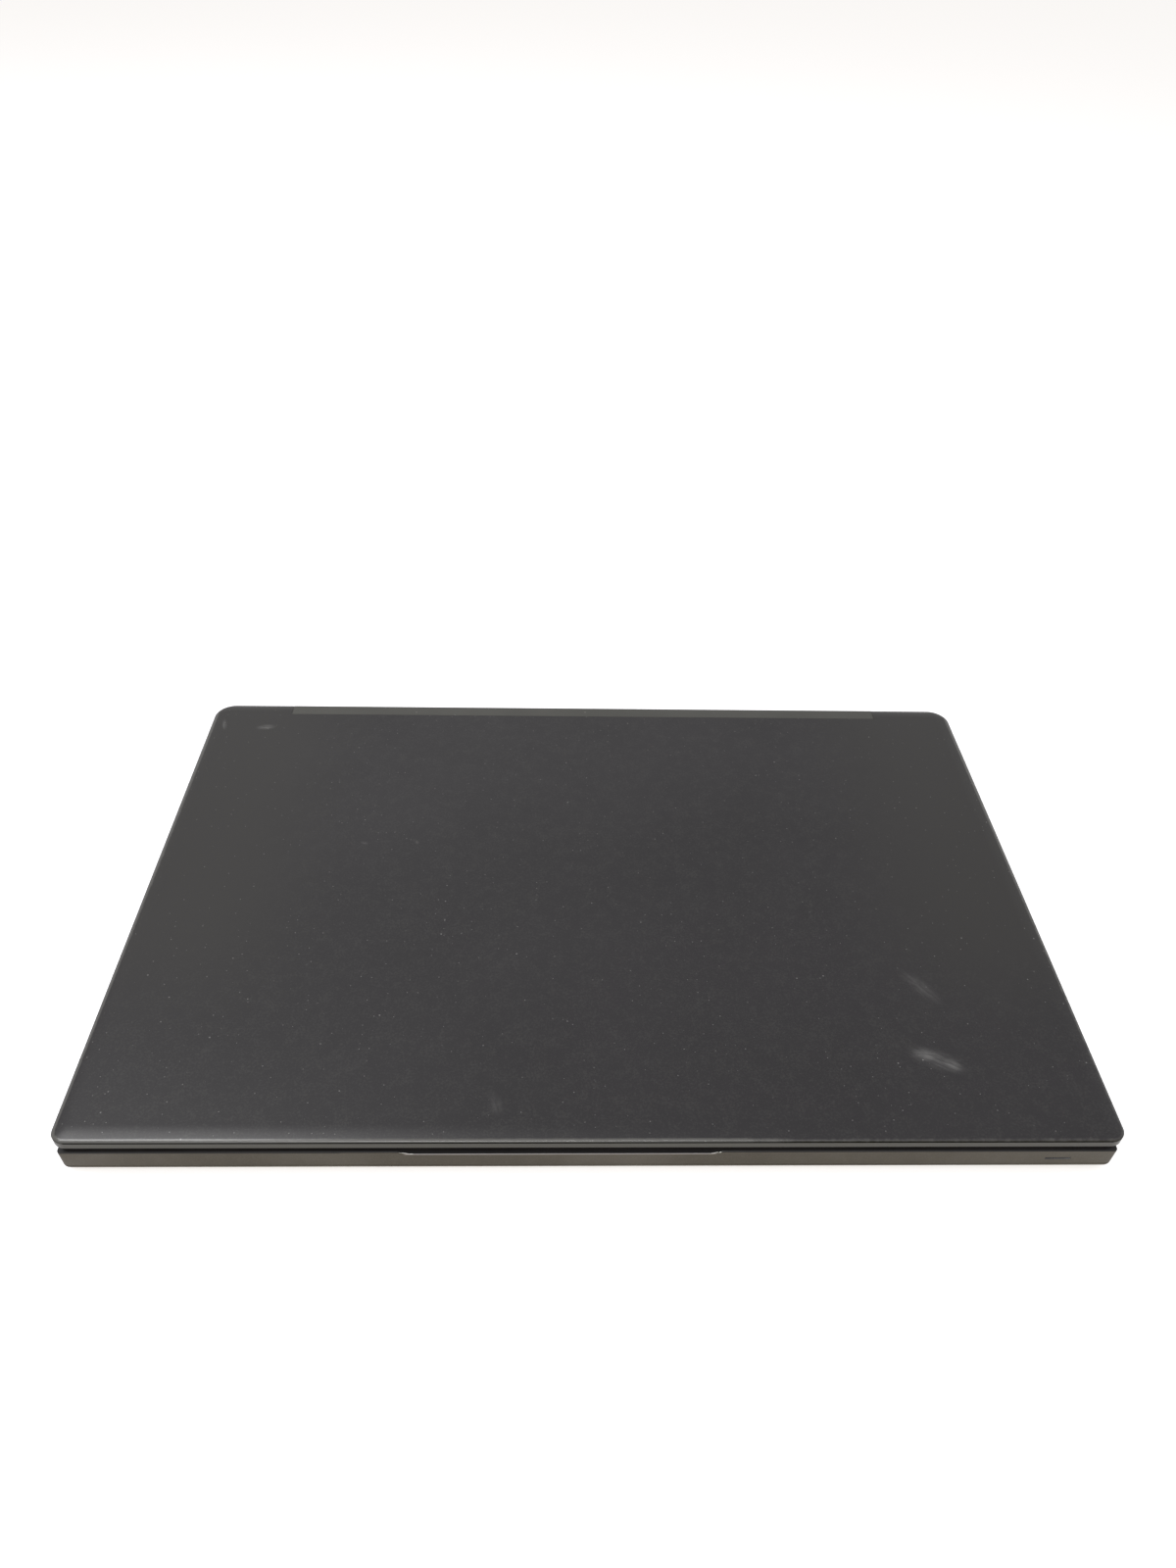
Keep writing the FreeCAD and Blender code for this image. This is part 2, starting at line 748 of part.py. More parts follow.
def hinges():
    leaf_screws = []
    bracket_screws = []
    for side in (-1, 1):
        tag = side_name(side)
        boss_span = mirrored(side, x.boss_start, x.boss_start + d.leaf_width)
        pin_span = mirrored(side, x.boss_start, x.pin_end)
        boss = rod(f"{tag}_leaf_boss", "x", (boss_span[0], y.axis, z.axis), d.leaf_width, d.leaf_boss)
        pin = rod(f"{tag}_hinge_pin", "x", (pin_span[0], y.axis, z.axis), pin_span[1] - pin_span[0],
                  d.pin_radius)
        link_rear = y.axis - d.leaf_thickness
        link = block(f"{tag}_leaf_link", boss_span, (link_rear - d.leaf_boss, link_rear), (z.axis, z.ceiling))
        plate_z = (z.ceiling - d.leaf_thickness, z.ceiling)
        plate = block(f"{tag}_leaf_plate", boss_span, (leaf_front, link_rear), plate_z)
        foot = block(f"{tag}_leaf_foot", mirrored(side, x.boss_start, x.boss_start + d.leaf_foot_length),
                     (leaf_front, leaf_foot_rear), plate_z)
        holes = []
        for index, across in enumerate(leaf_screw_x):
            spot = (across * side, leaf_screw_y)
            holes.append(rod(f"{tag}_leaf_bore_{index}", "z", (*spot, plate_z[0] - d.leaf_thickness),
                             d.leaf_thickness * 3, d.small_screw_shank + d.screw_fit))
            leaf_screws.append(screw(f"{tag}_leaf_screw_{index}", (*spot, plate_z[0]), d.small_screw_head,
                                     d.small_screw_head_height, d.small_screw_shank,
                                     d.leaf_thickness + d.small_screw_bite))
        leaf = fuse(f"{tag}_leaf", boss, pin, link, plate, foot)
        node(f"{tag}_hinge_leaf", cut(f"{tag}_hinge_leaf", leaf, *holes))

        knuckle_span = mirrored(side, x.knuckle, x.knuckle_end)
        knuckle = rod(f"{tag}_knuckle", "x", (knuckle_span[0], y.axis, z.axis), d.knuckle_length,
                      d.knuckle_radius)
        neck_low = z.axis - d.neck_drop
        neck = block(f"{tag}_bracket_neck", knuckle_span, (bracket_rear - d.knuckle_radius, y.axis),
                     (neck_low, neck_low + d.bracket_neck))
        foot_z = (z.deck_under - d.bracket_thickness, z.deck_under)
        base_foot = block(f"{tag}_bracket_foot", mirrored(side, x.knuckle, x.bracket_end),
                          (bracket_front, bracket_rear), foot_z)
        bores = [rod(f"{tag}_knuckle_bore", "x", (knuckle_span[0] - d.knuckle_gap, y.axis, z.axis),
                     d.knuckle_length + d.knuckle_gap * 2, d.pin_radius + d.pin_fit)]
        for index, across in enumerate(bracket_screw_x):
            spot = (across * side, bracket_screw_y)
            bores.append(rod(f"{tag}_bracket_bore_{index}", "z", (*spot, foot_z[0] - d.bracket_thickness),
                             d.bracket_thickness * 3, d.small_screw_shank + d.screw_fit))
            bracket_screws.append(screw(f"{tag}_bracket_screw_{index}", (*spot, foot_z[0]),
                                        d.small_screw_head, d.small_screw_head_height,
                                        d.small_screw_shank, d.bracket_thickness + d.small_screw_bite))
        bracket = fuse(f"{tag}_bracket", knuckle, neck, base_foot)
        node(f"{tag}_hinge_bracket", cut(f"{tag}_hinge_bracket", bracket, *bores))
    node("leaf_screws", group("leaf_screws", *leaf_screws))
    node("bracket_screws", group("bracket_screws", *bracket_screws))


def bottom_cover():
    body = slab("bottom_shell", (-half.base, half.base), (y.base_front, y.base_rear), (z.cover, z.seam),
                d.base_corner)
    soften(body, "bottom_edge_round", z.cover, d.bottom_round)
    pocket(body, "bottom_hollow", (-half.inner, half.inner), (y.base_front + d.base_wall, y.inner_rear),
           z.seam, d.bottom_rim - d.bottom_floor, d.base_corner - d.base_wall)
    pad_spots = [
        (x.board_left + d.board_pad_inset, y.board_front + d.board_pad_inset),
        (x.board_left + d.board_pad_inset, y.board_rear - d.board_pad_inset),
        (half.board - d.board_pad_inset, y.board_front + d.board_pad_inset),
        (half.board - d.board_pad_inset, y.board_rear - d.board_pad_inset),
        (x.arm_inner - d.board_pad_inset, y.arm_front + d.board_pad_inset),
    ]
    sink = d.bottom_floor / 2
    pads = [
        rod(f"board_pad_{index}", "z", (*spot, z.floor - sink), d.board_lift + sink, d.board_pad_radius)
        for index, spot in enumerate(pad_spots)
    ]
    through = (z.cover - d.bottom_floor, z.floor + d.bottom_floor)
    openings = []
    for index in range(count.vents):
        middle = x.fan + d.vent_spacing * (index - (count.vents - 1) / 2)
        openings.append(block(f"fan_vent_{index}", (middle - d.vent_width / 2, middle + d.vent_width / 2),
                              (y.fan - d.fan_inlet, y.fan + d.fan_inlet), through))
    speaker_y = y.battery_front + d.speaker_depth / 2
    grille_y = (speaker_y - d.grille_length / 2, speaker_y + d.grille_length / 2)
    for side in (-1, 1):
        for index in range(count.grilles):
            middle = (half.battery + x.boss_front) / 2 + d.grille_spacing * (index - (count.grilles - 1) / 2)
            openings.append(block(f"{side_name(side)}_grille_{index}",
                                  mirrored(side, middle - d.grille_width / 2, middle + d.grille_width / 2),
                                  grille_y, through))
    screws = []
    seat = z.cover + d.cover_screw_head_height + d.screw_fit
    for index, (side, across, along) in enumerate(cover_screws):
        spot = (across * side, along)
        openings.append(rod(f"cover_bore_{index}", "z", (*spot, through[0]), through[1] - through[0],
                            d.cover_screw_shank + d.screw_fit))
        openings.append(rod(f"cover_sink_{index}", "z", (*spot, through[0]), seat - through[0],
                            d.cover_screw_head + d.screw_fit))
        screws.append(screw(f"cover_screw_{index}", (*spot, seat), d.cover_screw_head,
                            d.cover_screw_head_height, d.cover_screw_shank, d.cover_screw_grip))
    node("bottom_cover", cut("bottom_cover", fuse("bottom_tray", body, *pads), *openings))
    node("cover_screws", group("cover_screws", *screws))

    rear = y.base_rear - d.rear_foot_setback
    front = y.base_front + d.front_foot_setback
    level = (zero, d.foot_height)
    foot_end = half.base - d.foot_side
    feet = [slab("rear_foot", (-foot_end, foot_end), (rear - d.foot_width, rear), level, d.foot_round)]
    for side in (-1, 1):
        feet.append(slab(f"{side_name(side)}_front_foot",
                         mirrored(side, foot_end - d.front_foot_length, foot_end),
                         (front, front + d.foot_width), level, d.foot_round))
    node("rubber_feet", group("rubber_feet", *feet))


def palmrest():
    body = slab("deck_shell", (-half.base, half.base), (y.base_front, y.base_rear), (z.seam, z.deck),
                d.base_corner)
    soften(body, "deck_edge_round", z.deck, d.deck_round)
    pocket(body, "deck_hollow", (-half.inner, half.inner), (y.inner_front, y.inner_rear), z.seam,
           z.deck_under - z.seam, d.base_corner - d.base_wall, upward=True)
    window = half.keys + d.keyboard_margin
    pocket(body, "keyboard_window", (-window, window),
           (y.keys_front - d.keyboard_margin, y.keys_rear + d.keyboard_margin), z.deck, d.deck_thickness * 2,
           d.keyboard_corner)
    pocket(body, "touchpad_window", (x.pad_left - d.pad_seam, x.pad_right + d.pad_seam),
           (y.pad_window_front, y.pad_window_rear), z.deck, d.deck_thickness * 2, d.pad_corner + d.pad_seam)
    wide = d.power_width / 2 + d.power_seam
    deep = d.power_depth / 2 + d.power_seam
    pocket(body, "power_window", (x.power - wide, x.power + wide), (y.power - deep, y.power + deep),
           z.deck, d.deck_thickness * 2, d.power_corner + d.power_seam)

    added = [body]
    removed = []
    for side in (-1, 1):
        tag = side_name(side)
        ear = mirrored(side, x.pin_end + d.knuckle_gap, half.base - d.bottom_round)
        added.append(slab(f"{tag}_ear", ear, (y.inner_rear - d.base_corner, y.axis + d.ear_reach),
                          (z.deck_under, z.deck), d.ear_corner))
        notch = mirrored(side, x.knuckle - d.swing_gap, x.knuckle_end + d.swing_gap)
        removed.append(block(f"{tag}_bracket_notch", notch,
                             (bracket_rear - d.knuckle_radius - d.part_gap, y.axis + d.knuckle_radius),
                             (z.deck_under - d.bracket_thickness - d.part_gap, z.deck + d.deck_thickness)))
        for index, across in enumerate(bracket_screw_x):
            removed.append(rod(f"{tag}_bracket_hole_{index}", "z",
                               (across * side, bracket_screw_y, z.deck_under - d.small_screw_bite),
                               d.small_screw_bite * 2 + d.screw_fit, d.small_screw_shank + d.screw_fit))
    for index, (side, across, along) in enumerate(cover_screws):
        spot = (across * side, along)
        added.append(rod(f"cover_boss_{index}", "z", (*spot, z.floor),
                         z.deck_under - z.floor + d.deck_thickness / 2, d.boss_radius))
        removed.append(rod(f"boss_bore_{index}", "z", (*spot, z.floor - d.bottom_floor),
                           d.cover_screw_grip + d.bottom_floor, d.cover_screw_shank + d.screw_fit))
    removed += side_openings()

    lip = d.scoop_width / 2 + d.scoop_slope
    scoop = doc.addObject("Part::Wedge", "finger_scoop")
    scoop.Placement = Placement(Vector(), Rotation(Vector(1, 0, 0), -90))
    bind(scoop, Xmin=-lip, Xmax=lip, X2min=-d.scoop_width / 2, X2max=d.scoop_width / 2,
         Ymin=zero, Ymax=d.scoop_height, Zmin=zero, Zmax=d.scoop_depth + d.base_inset,
         Z2min=zero, Z2max=d.scoop_depth + d.base_inset)
    place(scoop, d.pad_offset, y.base_front - d.base_inset, z.deck)
    removed.append(scoop)

    light = light_box()
    removed.append(block("light_slot", *light))
    node("palmrest", cut("palmrest", fuse("palmrest_body", *added), *removed))
    node("status_light", block("status_light", *light))


def light_box():
    middle = half.base - d.light_setback
    level = z.seam + d.light_rise
    return ((middle - d.light_width / 2, middle + d.light_width / 2), (y.base_front, y.inner_front),
            (level - d.light_height / 2, level + d.light_height / 2))


def side_openings():
    """Mouths in the side walls for the sockets, the lock and the warm air."""
    mouths = []
    for name, side, middle, width, height in (
        ("usb_c", -1, y.usb_c, d.usb_c_width, d.usb_c_height),
        ("video", -1, y.video, d.video_width, d.video_height),
        ("left_usb", -1, y.left_usb, d.usb_a_width, d.usb_a_height),
        ("right_usb", 1, y.right_usb, d.usb_a_width, d.usb_a_height),
    ):
        wide = width / 2 - d.socket_mouth
        span = mirrored(side, half.inner - d.base_wall, half.base + d.base_wall)
        mouths.append(block(f"{name}_mouth", span, (middle - wide, middle + wide),
                            (z.board_top + d.socket_mouth, z.board_top + height - d.socket_mouth)))
    for name, side, middle, radius, height in (
        ("inlet", -1, y.inlet, d.inlet_radius, d.inlet_height),
        ("jack", 1, y.jack, d.jack_radius, d.jack_height),
    ):
        span = mirrored(side, half.inner - d.base_wall, half.base + d.base_wall)
        mouths.append(rod(f"{name}_mouth", "x", (span[0], middle, z.board_top + height / 2),
                          span[1] - span[0], radius + d.socket_mouth * 2))
    mouths.append(lock_slot("lock_mouth"))
    first = y.fan_front + d.fan_wall * 2
    pitch = (d.fan_size - d.fan_wall * 4) / count.vents
    for index in range(count.vents):
        start = first + pitch * index
        mouths.append(block(f"side_vent_{index}", (-half.base - d.base_wall, -half.inner + d.base_wall),
                            (start, start + d.side_vent_width),
                            (z.seam + d.part_gap, z.floor + d.fan_height)))
    return mouths


def lock_slot(name):
    middle = z.board_top + d.lock_plate_height / 2
    return block(name, (half.inner - d.lock_plate_thickness * 2, half.base + d.base_wall),
                 (y.lock - d.lock_width / 2, y.lock + d.lock_width / 2),
                 (middle - d.lock_height / 2, middle + d.lock_height / 2))


def shell_socket(name, side, middle, width, height, depth, tongue):
    """A sheet-metal socket that opens to the side, with its contact tongue."""
    outer = mirrored(side, half.inner - depth, half.inner)
    cavity = mirrored(side, half.inner - depth + d.socket_wall * 4, half.inner + depth)
    can = block(f"{name}_can", outer, (middle - width / 2, middle + width / 2),
                (z.board_top, z.board_top + height))
    clear = width / 2 - d.socket_wall
    hollow = block(f"{name}_hollow", cavity, (middle - clear, middle + clear),
                   (z.board_top + d.socket_wall, z.board_top + height - d.socket_wall))
    low, high, wide = tongue
    reach = mirrored(side, half.inner - depth + d.socket_wall, half.inner - d.tongue_setback)
    blade = block(f"{name}_tongue", reach, (middle - wide / 2, middle + wide / 2),
                  (z.board_top + low, z.board_top + high))
    return fuse(name, cut(f"{name}_shell", can, hollow), blade)


def round_socket(name, side, middle, width, height, depth, radius, bore):
    """A moulded socket with a round bore that opens to the side."""
    body = block(f"{name}_block", mirrored(side, half.inner - depth, half.inner),
                 (middle - width / 2, middle + width / 2), (z.board_top, z.board_top + height))
    span = mirrored(side, half.inner - bore, half.inner + bore)
    hole = rod(f"{name}_bore", "x", (span[0], middle, z.board_top + height / 2), span[1] - span[0], radius)
    return cut(name, body, hole)


def sockets():
    tongue = (d.usb_a_height / 2, d.usb_a_height / 2 + d.socket_wall * 6, d.usb_a_width - d.service_gap)
    usb = [
        shell_socket("left_usb_a", -1, y.left_usb, d.usb_a_width, d.usb_a_height, d.usb_a_depth, tongue),
        shell_socket("right_usb_a", 1, y.right_usb, d.usb_a_width, d.usb_a_height, d.usb_a_depth, tongue),
    ]
    node("usb_a_ports", group("usb_a_ports", *usb))
    middle = d.usb_c_height / 2
    tongue = (middle - d.socket_wall, middle + d.socket_wall, d.usb_c_width - d.service_gap)
    node("usb_c_port",
         shell_socket("usb_c_port", -1, y.usb_c, d.usb_c_width, d.usb_c_height, d.usb_c_depth, tongue))
    middle = d.video_height / 2
    tongue = (middle - d.socket_wall * 3, middle + d.socket_wall * 2, d.video_width - d.service_gap)
    node("video_port",
         shell_socket("video_port", -1, y.video, d.video_width, d.video_height, d.video_depth, tongue))
    inlet_bore = d.inlet_depth - d.socket_wall * 5
    body = round_socket("inlet_body", -1, y.inlet, d.inlet_width, d.inlet_height, d.inlet_depth,
                        d.inlet_radius, inlet_bore)
    pin = rod("inlet_pin", "x", (-half.inner + d.tongue_setback, y.inlet, z.board_top + d.inlet_height / 2),
              d.inlet_depth - d.tongue_setback * 2, d.inlet_pin)
    node("power_inlet", fuse("power_inlet", body, pin))
    node("headset_jack", round_socket("headset_jack", 1, y.jack, d.jack_width, d.jack_height, d.jack_depth,
                                      d.jack_radius, d.jack_bore))
    plate = block("lock_blank", (half.inner - d.lock_plate_thickness, half.inner),
                  (y.lock - d.lock_plate_width / 2, y.lock + d.lock_plate_width / 2),
                  (z.board_top, z.board_top + d.lock_plate_height))
    node("lock_plate", cut("lock_plate", plate, lock_slot("lock_opening")))


def key_layout():
    """Each key as its node and its cell, in millimetres on the deck."""
    unit = half.keys * 2 / ROW_UNITS
    rows = [
        (d.function_row_depth, [("function_keys", ROW_UNITS / FUNCTION_KEYS)] * FUNCTION_KEYS),
        (d.row_depth, [("number_keys", 1)] * 13 + [("backspace_key", 2)]),
        (d.row_depth, [("tab_key", 1.5)] + [("top_letter_keys", 1)] * 12 + [("top_letter_keys", 1.5)]),
        (d.row_depth, [("caps_lock_key", 1.75)] + [("home_letter_keys", 1)] * 11 + [("enter_key", 2.25)]),
        (d.row_depth, [("left_shift_key", 2.25)] + [("bottom_letter_keys", 1)] * 10
         + [("right_shift_key", 2.75)]),
        (d.row_depth, [("modifier_keys", 1.25)] + [("modifier_keys", 1)] * 3 + [("space_bar", 5.75)]
         + [("modifier_keys", 1)] * 2),
    ]
    cells = []
    rear = y.keys_rear
    for height, keys in rows:
        left = -half.keys
        for name, width in keys:
            cells.append((name, left, left + unit * width, rear - height, rear))
            left = left + unit * width
        rear = rear - height
    arrow_left = half.keys - unit * 3
    for column in range(3):
        for half_row in range(2):
            near = y.keys_front + d.row_depth / 2 * half_row
            start = arrow_left + unit * column
            cells.append(("arrow_keys", start, start + unit, near, near + d.row_depth / 2))
    return cells


def inset(cell, by):
    name, left, right, near, far = cell
    return float(left + by), float(right - by), float(near + by), float(far - by)


def rounded_wire(left, right, near, far, level, radius):
    bend = radius * (1 - math.sqrt(0.5))

    def at(across, along):
        return Vector(across, along, level)

    corners = [
        (at(right - radius, near), at(right - bend, near + bend), at(right, near + radius)),
        (at(right, far - radius), at(right - bend, far - bend), at(right - radius, far)),
        (at(left + radius, far), at(left + bend, far - bend), at(left, far - radius)),
        (at(left, near + radius), at(left + bend, near + bend), at(left + radius, near)),
    ]
    edges = []
    for index, corner in enumerate(corners):
        edges.append(Part.Arc(*corner).toShape())
        edges.append(Part.LineSegment(corner[2], corners[(index + 1) % 4][0]).toShape())
    return Part.Wire(edges)


def key_cap(cell):
    """A hollow cap that narrows upwards, with rounded corners."""
    gap = d.key_gap / 2
    foot = rounded_wire(*inset(cell, gap), float(z.key_foot), float(d.key_corner))
    head = rounded_wire(*inset(cell, gap + d.key_draft), float(z.deck), float(d.key_corner))
    cap = Part.makeLoft([foot, head], True, True)
    left, right, near, far = inset(cell, gap + d.key_draft + d.key_skirt)
    depth = float(z.key_hollow - z.key_foot)
    hollow = Part.makeBox(right - left, far - near, depth * 2, Vector(left, near, float(z.key_foot) - depth))
    return cap.cut(hollow)


def keyboard():
    cells = key_layout()
    blank = block("lattice_blank", (-half.lattice, half.lattice), (y.lattice_front, y.lattice_rear),
                  (z.lattice, z.deck_under))
    inner = half.lattice - d.lattice_rim
    under = block("lattice_hollow", (-inner, inner),
                  (y.lattice_front + d.lattice_rim, y.lattice_rear - d.lattice_rim),
                  (z.lattice - d.lattice_thickness, z.deck_under - d.lattice_thickness))
    holes = doc.addObject("Part::Feature", "key_holes")
    boxes = []
    low = float(z.lattice)
    tall = float(d.lattice_depth) * 2
    for cell in cells:
        left, right, near, far = inset(cell, d.key_gap / 2 - d.key_clearance)
        boxes.append(Part.makeBox(right - left, far - near, tall, Vector(left, near, low)))
    holes.Shape = Part.makeCompound(boxes)
    node("keyboard_lattice", cut("keyboard_lattice", cut("lattice_frame", blank, under), holes))

    node("keyboard_backplate", block("keyboard_backplate", (-half.lattice, half.lattice),
                                     (y.lattice_front, y.lattice_rear), (z.backplate, z.lattice)))
    inside = inner - d.part_gap
    edge = d.lattice_rim + d.part_gap
    node("key_membrane", block("key_membrane", (-inside, inside),
                               (y.lattice_front + edge, y.lattice_rear - edge), (z.lattice, z.membrane)))

    dome_top = float(z.key_hollow - d.key_travel - d.dome_gap)
    domes = []
    for cell in cells:
        left, right, near, far = inset(cell, zero)
        least = (min(right - left, far - near) - float(d.key_gap)) / 2
        room = least - float(d.key_draft + d.key_skirt + d.part_gap)
        radius = min(float(d.dome_radius), room)
        centre = Vector((left + right) / 2, (near + far) / 2, float(z.membrane))
        domes.append(Part.makeCone(radius, radius * DOME_TAPER, dome_top - float(z.membrane), centre))
    dome_sheet = doc.addObject("Part::Feature", "key_domes")
    dome_sheet.Shape = Part.makeCompound(domes)
    node("key_domes", dome_sheet)

    caps = {}
    for cell in cells:
        caps.setdefault(cell[0], []).append(key_cap(cell))
    for name, solids in caps.items():
        keys = doc.addObject("Part::Feature", name)
        keys.Shape = Part.makeCompound(solids) if len(solids) > 1 else solids[0]
        node(name, keys)


def touchpad():
    level = (z.pad_under, z.pad_top)
    node("touchpad", slab("touchpad", (x.pad_left, x.pad_right), (y.pad_front, y.pad_rear), level,
                          d.pad_corner))
    rows = (y.button_front, y.button_rear)
    button_z = (z.pad_top - d.pad_button_thickness, z.pad_top)
    split = d.pad_seam / 2
    for name, across in (
        ("touchpad_left_button", (x.pad_left, d.pad_offset - split)),
        ("touchpad_right_button", (d.pad_offset + split, x.pad_right)),
    ):
        node(name, slab(name, across, rows, button_z, d.pad_corner))
    reach = d.pad_seam + d.pad_bracket_margin
    plate_z = (z.pad_under - d.pad_bracket_thickness, z.pad_under)
    along = (y.pad_window_front - d.service_gap, y.pad_window_rear + d.service_gap)
    plate = block("pad_plate", (x.pad_left - reach, x.pad_right + reach), along, plate_z)
    wing = d.pad_bracket_margin - d.service_gap
    left_wing = block("pad_left_wing", (x.pad_left - reach, x.pad_left - reach + wing), along,
                      (plate_z[0], z.deck_under))
    right_wing = block("pad_right_wing", (x.pad_right + reach - wing, x.pad_right + reach), along,
                       (plate_z[0], z.deck_under))
    node("touchpad_bracket", fuse("touchpad_bracket", plate, left_wing, right_wing))


def power_button():
    wide = d.power_width / 2
    deep = d.power_depth / 2
    low = z.deck_under - d.power_flange_thickness
    cap = slab("power_cap", (x.power - wide, x.power + wide), (y.power - deep, y.power + deep),
               (low, z.deck), d.power_corner)
    wide = wide + d.power_flange
    deep = deep + d.power_flange
    flange = slab("power_flange_plate", (x.power - wide, x.power + wide),
                  (y.power - deep, y.power + deep), (low, z.deck_under), d.power_corner + d.power_flange)
    node("power_button", fuse("power_button", cap, flange))


def boards():
    level = (z.board, z.board_top)
    overlap = d.service_gap
    pieces = [
        block("board_main", (x.board_left, half.board), (y.board_front, y.board_rear), level),
        block("board_side", (-half.board, x.board_left + overlap), (y.board_front, y.arm_rear), level),
        block("board_arm", (-half.board, x.arm_inner), (y.arm_front, y.board_front + overlap), level),
    ]
    node("mainboard", fuse("mainboard", *pieces))

    def chip(name, left, rear, width, depth, height):
        level = (z.board_top, z.board_top + height)
        node(name, block(name, (left, left + width), (rear - depth, rear), level))

    chip("processor", x.processor, y.pipe + d.processor_depth / 2, d.processor_width, d.processor_depth,
         d.processor_height)
    chip("memory_module", x.memory, y.memory, d.memory_width, d.memory_depth, d.memory_height)
    chip("solid_state_drive", x.memory, y.drive, d.drive_width, d.drive_depth, d.drive_height)
    chip("wireless_card", x.wireless, y.drive, d.wireless_width, d.drive_depth, d.wireless_height)

    node("battery_pack", slab("battery_pack", (-half.battery, half.battery),
                              (y.battery_front, y.battery_rear),
                              (z.floor, z.floor + d.battery_height), d.battery_corner))
    boxes = []
    speaker_end = x.boss_front - d.boss_radius - d.part_gap
    for side in (-1, 1):
        boxes.append(slab(f"{side_name(side)}_speaker",
                          mirrored(side, half.battery + d.service_gap, speaker_end),
                          (y.battery_front, y.battery_front + d.speaker_depth),
                          (z.floor, z.floor + d.speaker_height), d.speaker_corner))
    node("speakers", group("speakers", *boxes))


def cooling():
    pipe_z = z.board_top + d.processor_height
    fins_y = (y.fan_front + d.fan_wall * 2, y.fan_rear - d.fan_wall * 2)
    fin_block = block("fin_block", (x.fins_left, x.fins_right), fins_y, (z.floor, pipe_z))
    pitch = (fins_y[1] - fins_y[0] - d.fin_slot) / (count.fins - 1)
    slots = []
    for index in range(count.fins):
        start = fins_y[0] + pitch * index
        slots.append(block(f"fin_gap_{index}", (x.fins_left - d.part_gap, x.fins_right + d.part_gap),
                           (start, start + d.fin_slot), (z.floor - d.fin_plate, pipe_z - d.fin_plate)))
    node("fin_stack", cut("fin_stack", fin_block, *slots))

    column = float(x.fins_left + d.fin_width / 2)
    level = float(pipe_z + d.pipe_height / 2)
    run = float(y.pipe)
    bend = float(d.pipe_bend)
    bow = bend * (1 - math.sqrt(0.5))
    start = Vector(column, float(fins_y[0]), level)
    turn_in = Vector(column, run - bend, level)
    turn_out = Vector(column + bend, run, level)
    end = Vector(float(x.processor + d.processor_width), run, level)
    path = Part.Wire([
        Part.LineSegment(start, turn_in).toShape(),
        Part.Arc(turn_in, Vector(column + bow, run - bow, level), turn_out).toShape(),
        Part.LineSegment(turn_out, end).toShape(),
    ])
    wide = float(d.pipe_width) / 2
    tall = float(d.pipe_height) / 2
    section = Part.makePolygon([
        start + Vector(-wide, 0, -tall), start + Vector(wide, 0, -tall), start + Vector(wide, 0, tall),
        start + Vector(-wide, 0, tall), start + Vector(-wide, 0, -tall),
    ])
    pipe = doc.addObject("Part::Feature", "heat_pipe")
    pipe.Shape = path.makePipeShell([section], True, True)
    node("heat_pipe", pipe)
    fan()


def fan():
    top = z.floor + d.fan_height
    room = (z.floor + d.fan_plate, top - d.fan_plate)
    case = slab("fan_case", (x.fan_left, x.fan_right), (y.fan_front, y.fan_rear), (z.floor, top),
                d.fan_corner)
    bore = d.fan_size / 2 - d.fan_wall
    tools = [
        rod("fan_room", "z", (x.fan, y.fan, room[0]), room[1] - room[0], bore),
        block("fan_outlet", (x.fan_left - d.fan_wall, x.fan),
              (y.fan_front + d.fan_wall * 2, y.fan_rear - d.fan_wall * 2), room),
        rod("fan_intake", "z", (x.fan, y.fan, z.floor - d.fan_plate), d.fan_plate * 3, d.fan_inlet),
    ]
    shaft_low = room[0] + d.rotor_gap
    shaft = rod("fan_shaft", "z", (x.fan, y.fan, shaft_low), top - d.fan_plate / 2 - shaft_low, d.fan_shaft)
    node("fan_housing", fuse("fan_housing", cut("fan_shell", case, *tools), shaft))

    low = float(room[0] + d.rotor_gap)
    height = float(room[1] - d.rotor_gap) - low
    hub = float(d.rotor_hub)
    radius = float(bore - d.rotor_clearance)
    thick = float(d.blade_thickness)
    centre = Vector(float(x.fan), float(y.fan), low)
    wheel = Part.makeCylinder(hub, height, centre)
    blades = []
    for index in range(count.blades):
        blade = Part.makeBox(radius - hub + thick, thick, height, centre + Vector(hub - thick, -thick / 2, 0))
        blade.rotate(centre, Vector(0, 0, 1), 360 * index / count.blades)
        blades.append(blade)
    wheel = wheel.multiFuse(blades)
    wheel = wheel.cut(Part.makeCylinder(float(d.fan_shaft + d.fan_shaft_fit), height, centre))
    rotor = doc.addObject("Part::Feature", "fan_rotor")
    rotor.Shape = wheel.removeSplitter()
    node("fan_rotor", rotor)


lid_back_cover()
display()
hinge_cover()
hinges()
bottom_cover()
palmrest()
sockets()
keyboard()
touchpad()
power_button()
boards()
cooling()
doc.recompute()

for obj in doc.Objects:
    if "Invalid" in obj.State or "Error" in obj.State:
        raise RuntimeError(f"{obj.Name} failed: {obj.State}")
for label, obj in nodes.items():
    shape = obj.Shape
    if shape.isNull() or not shape.isValid() or not shape.Solids:
        raise RuntimeError(f"{label} has no valid solid")

os.makedirs("parts", exist_ok=True)
for label, obj in nodes.items():
    obj.Shape.exportStep(f"parts/{label}.step")
print(f"{len(nodes)} nodes written")
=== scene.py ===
import math

import bmesh
import bpy
from mathutils import Matrix, Vector


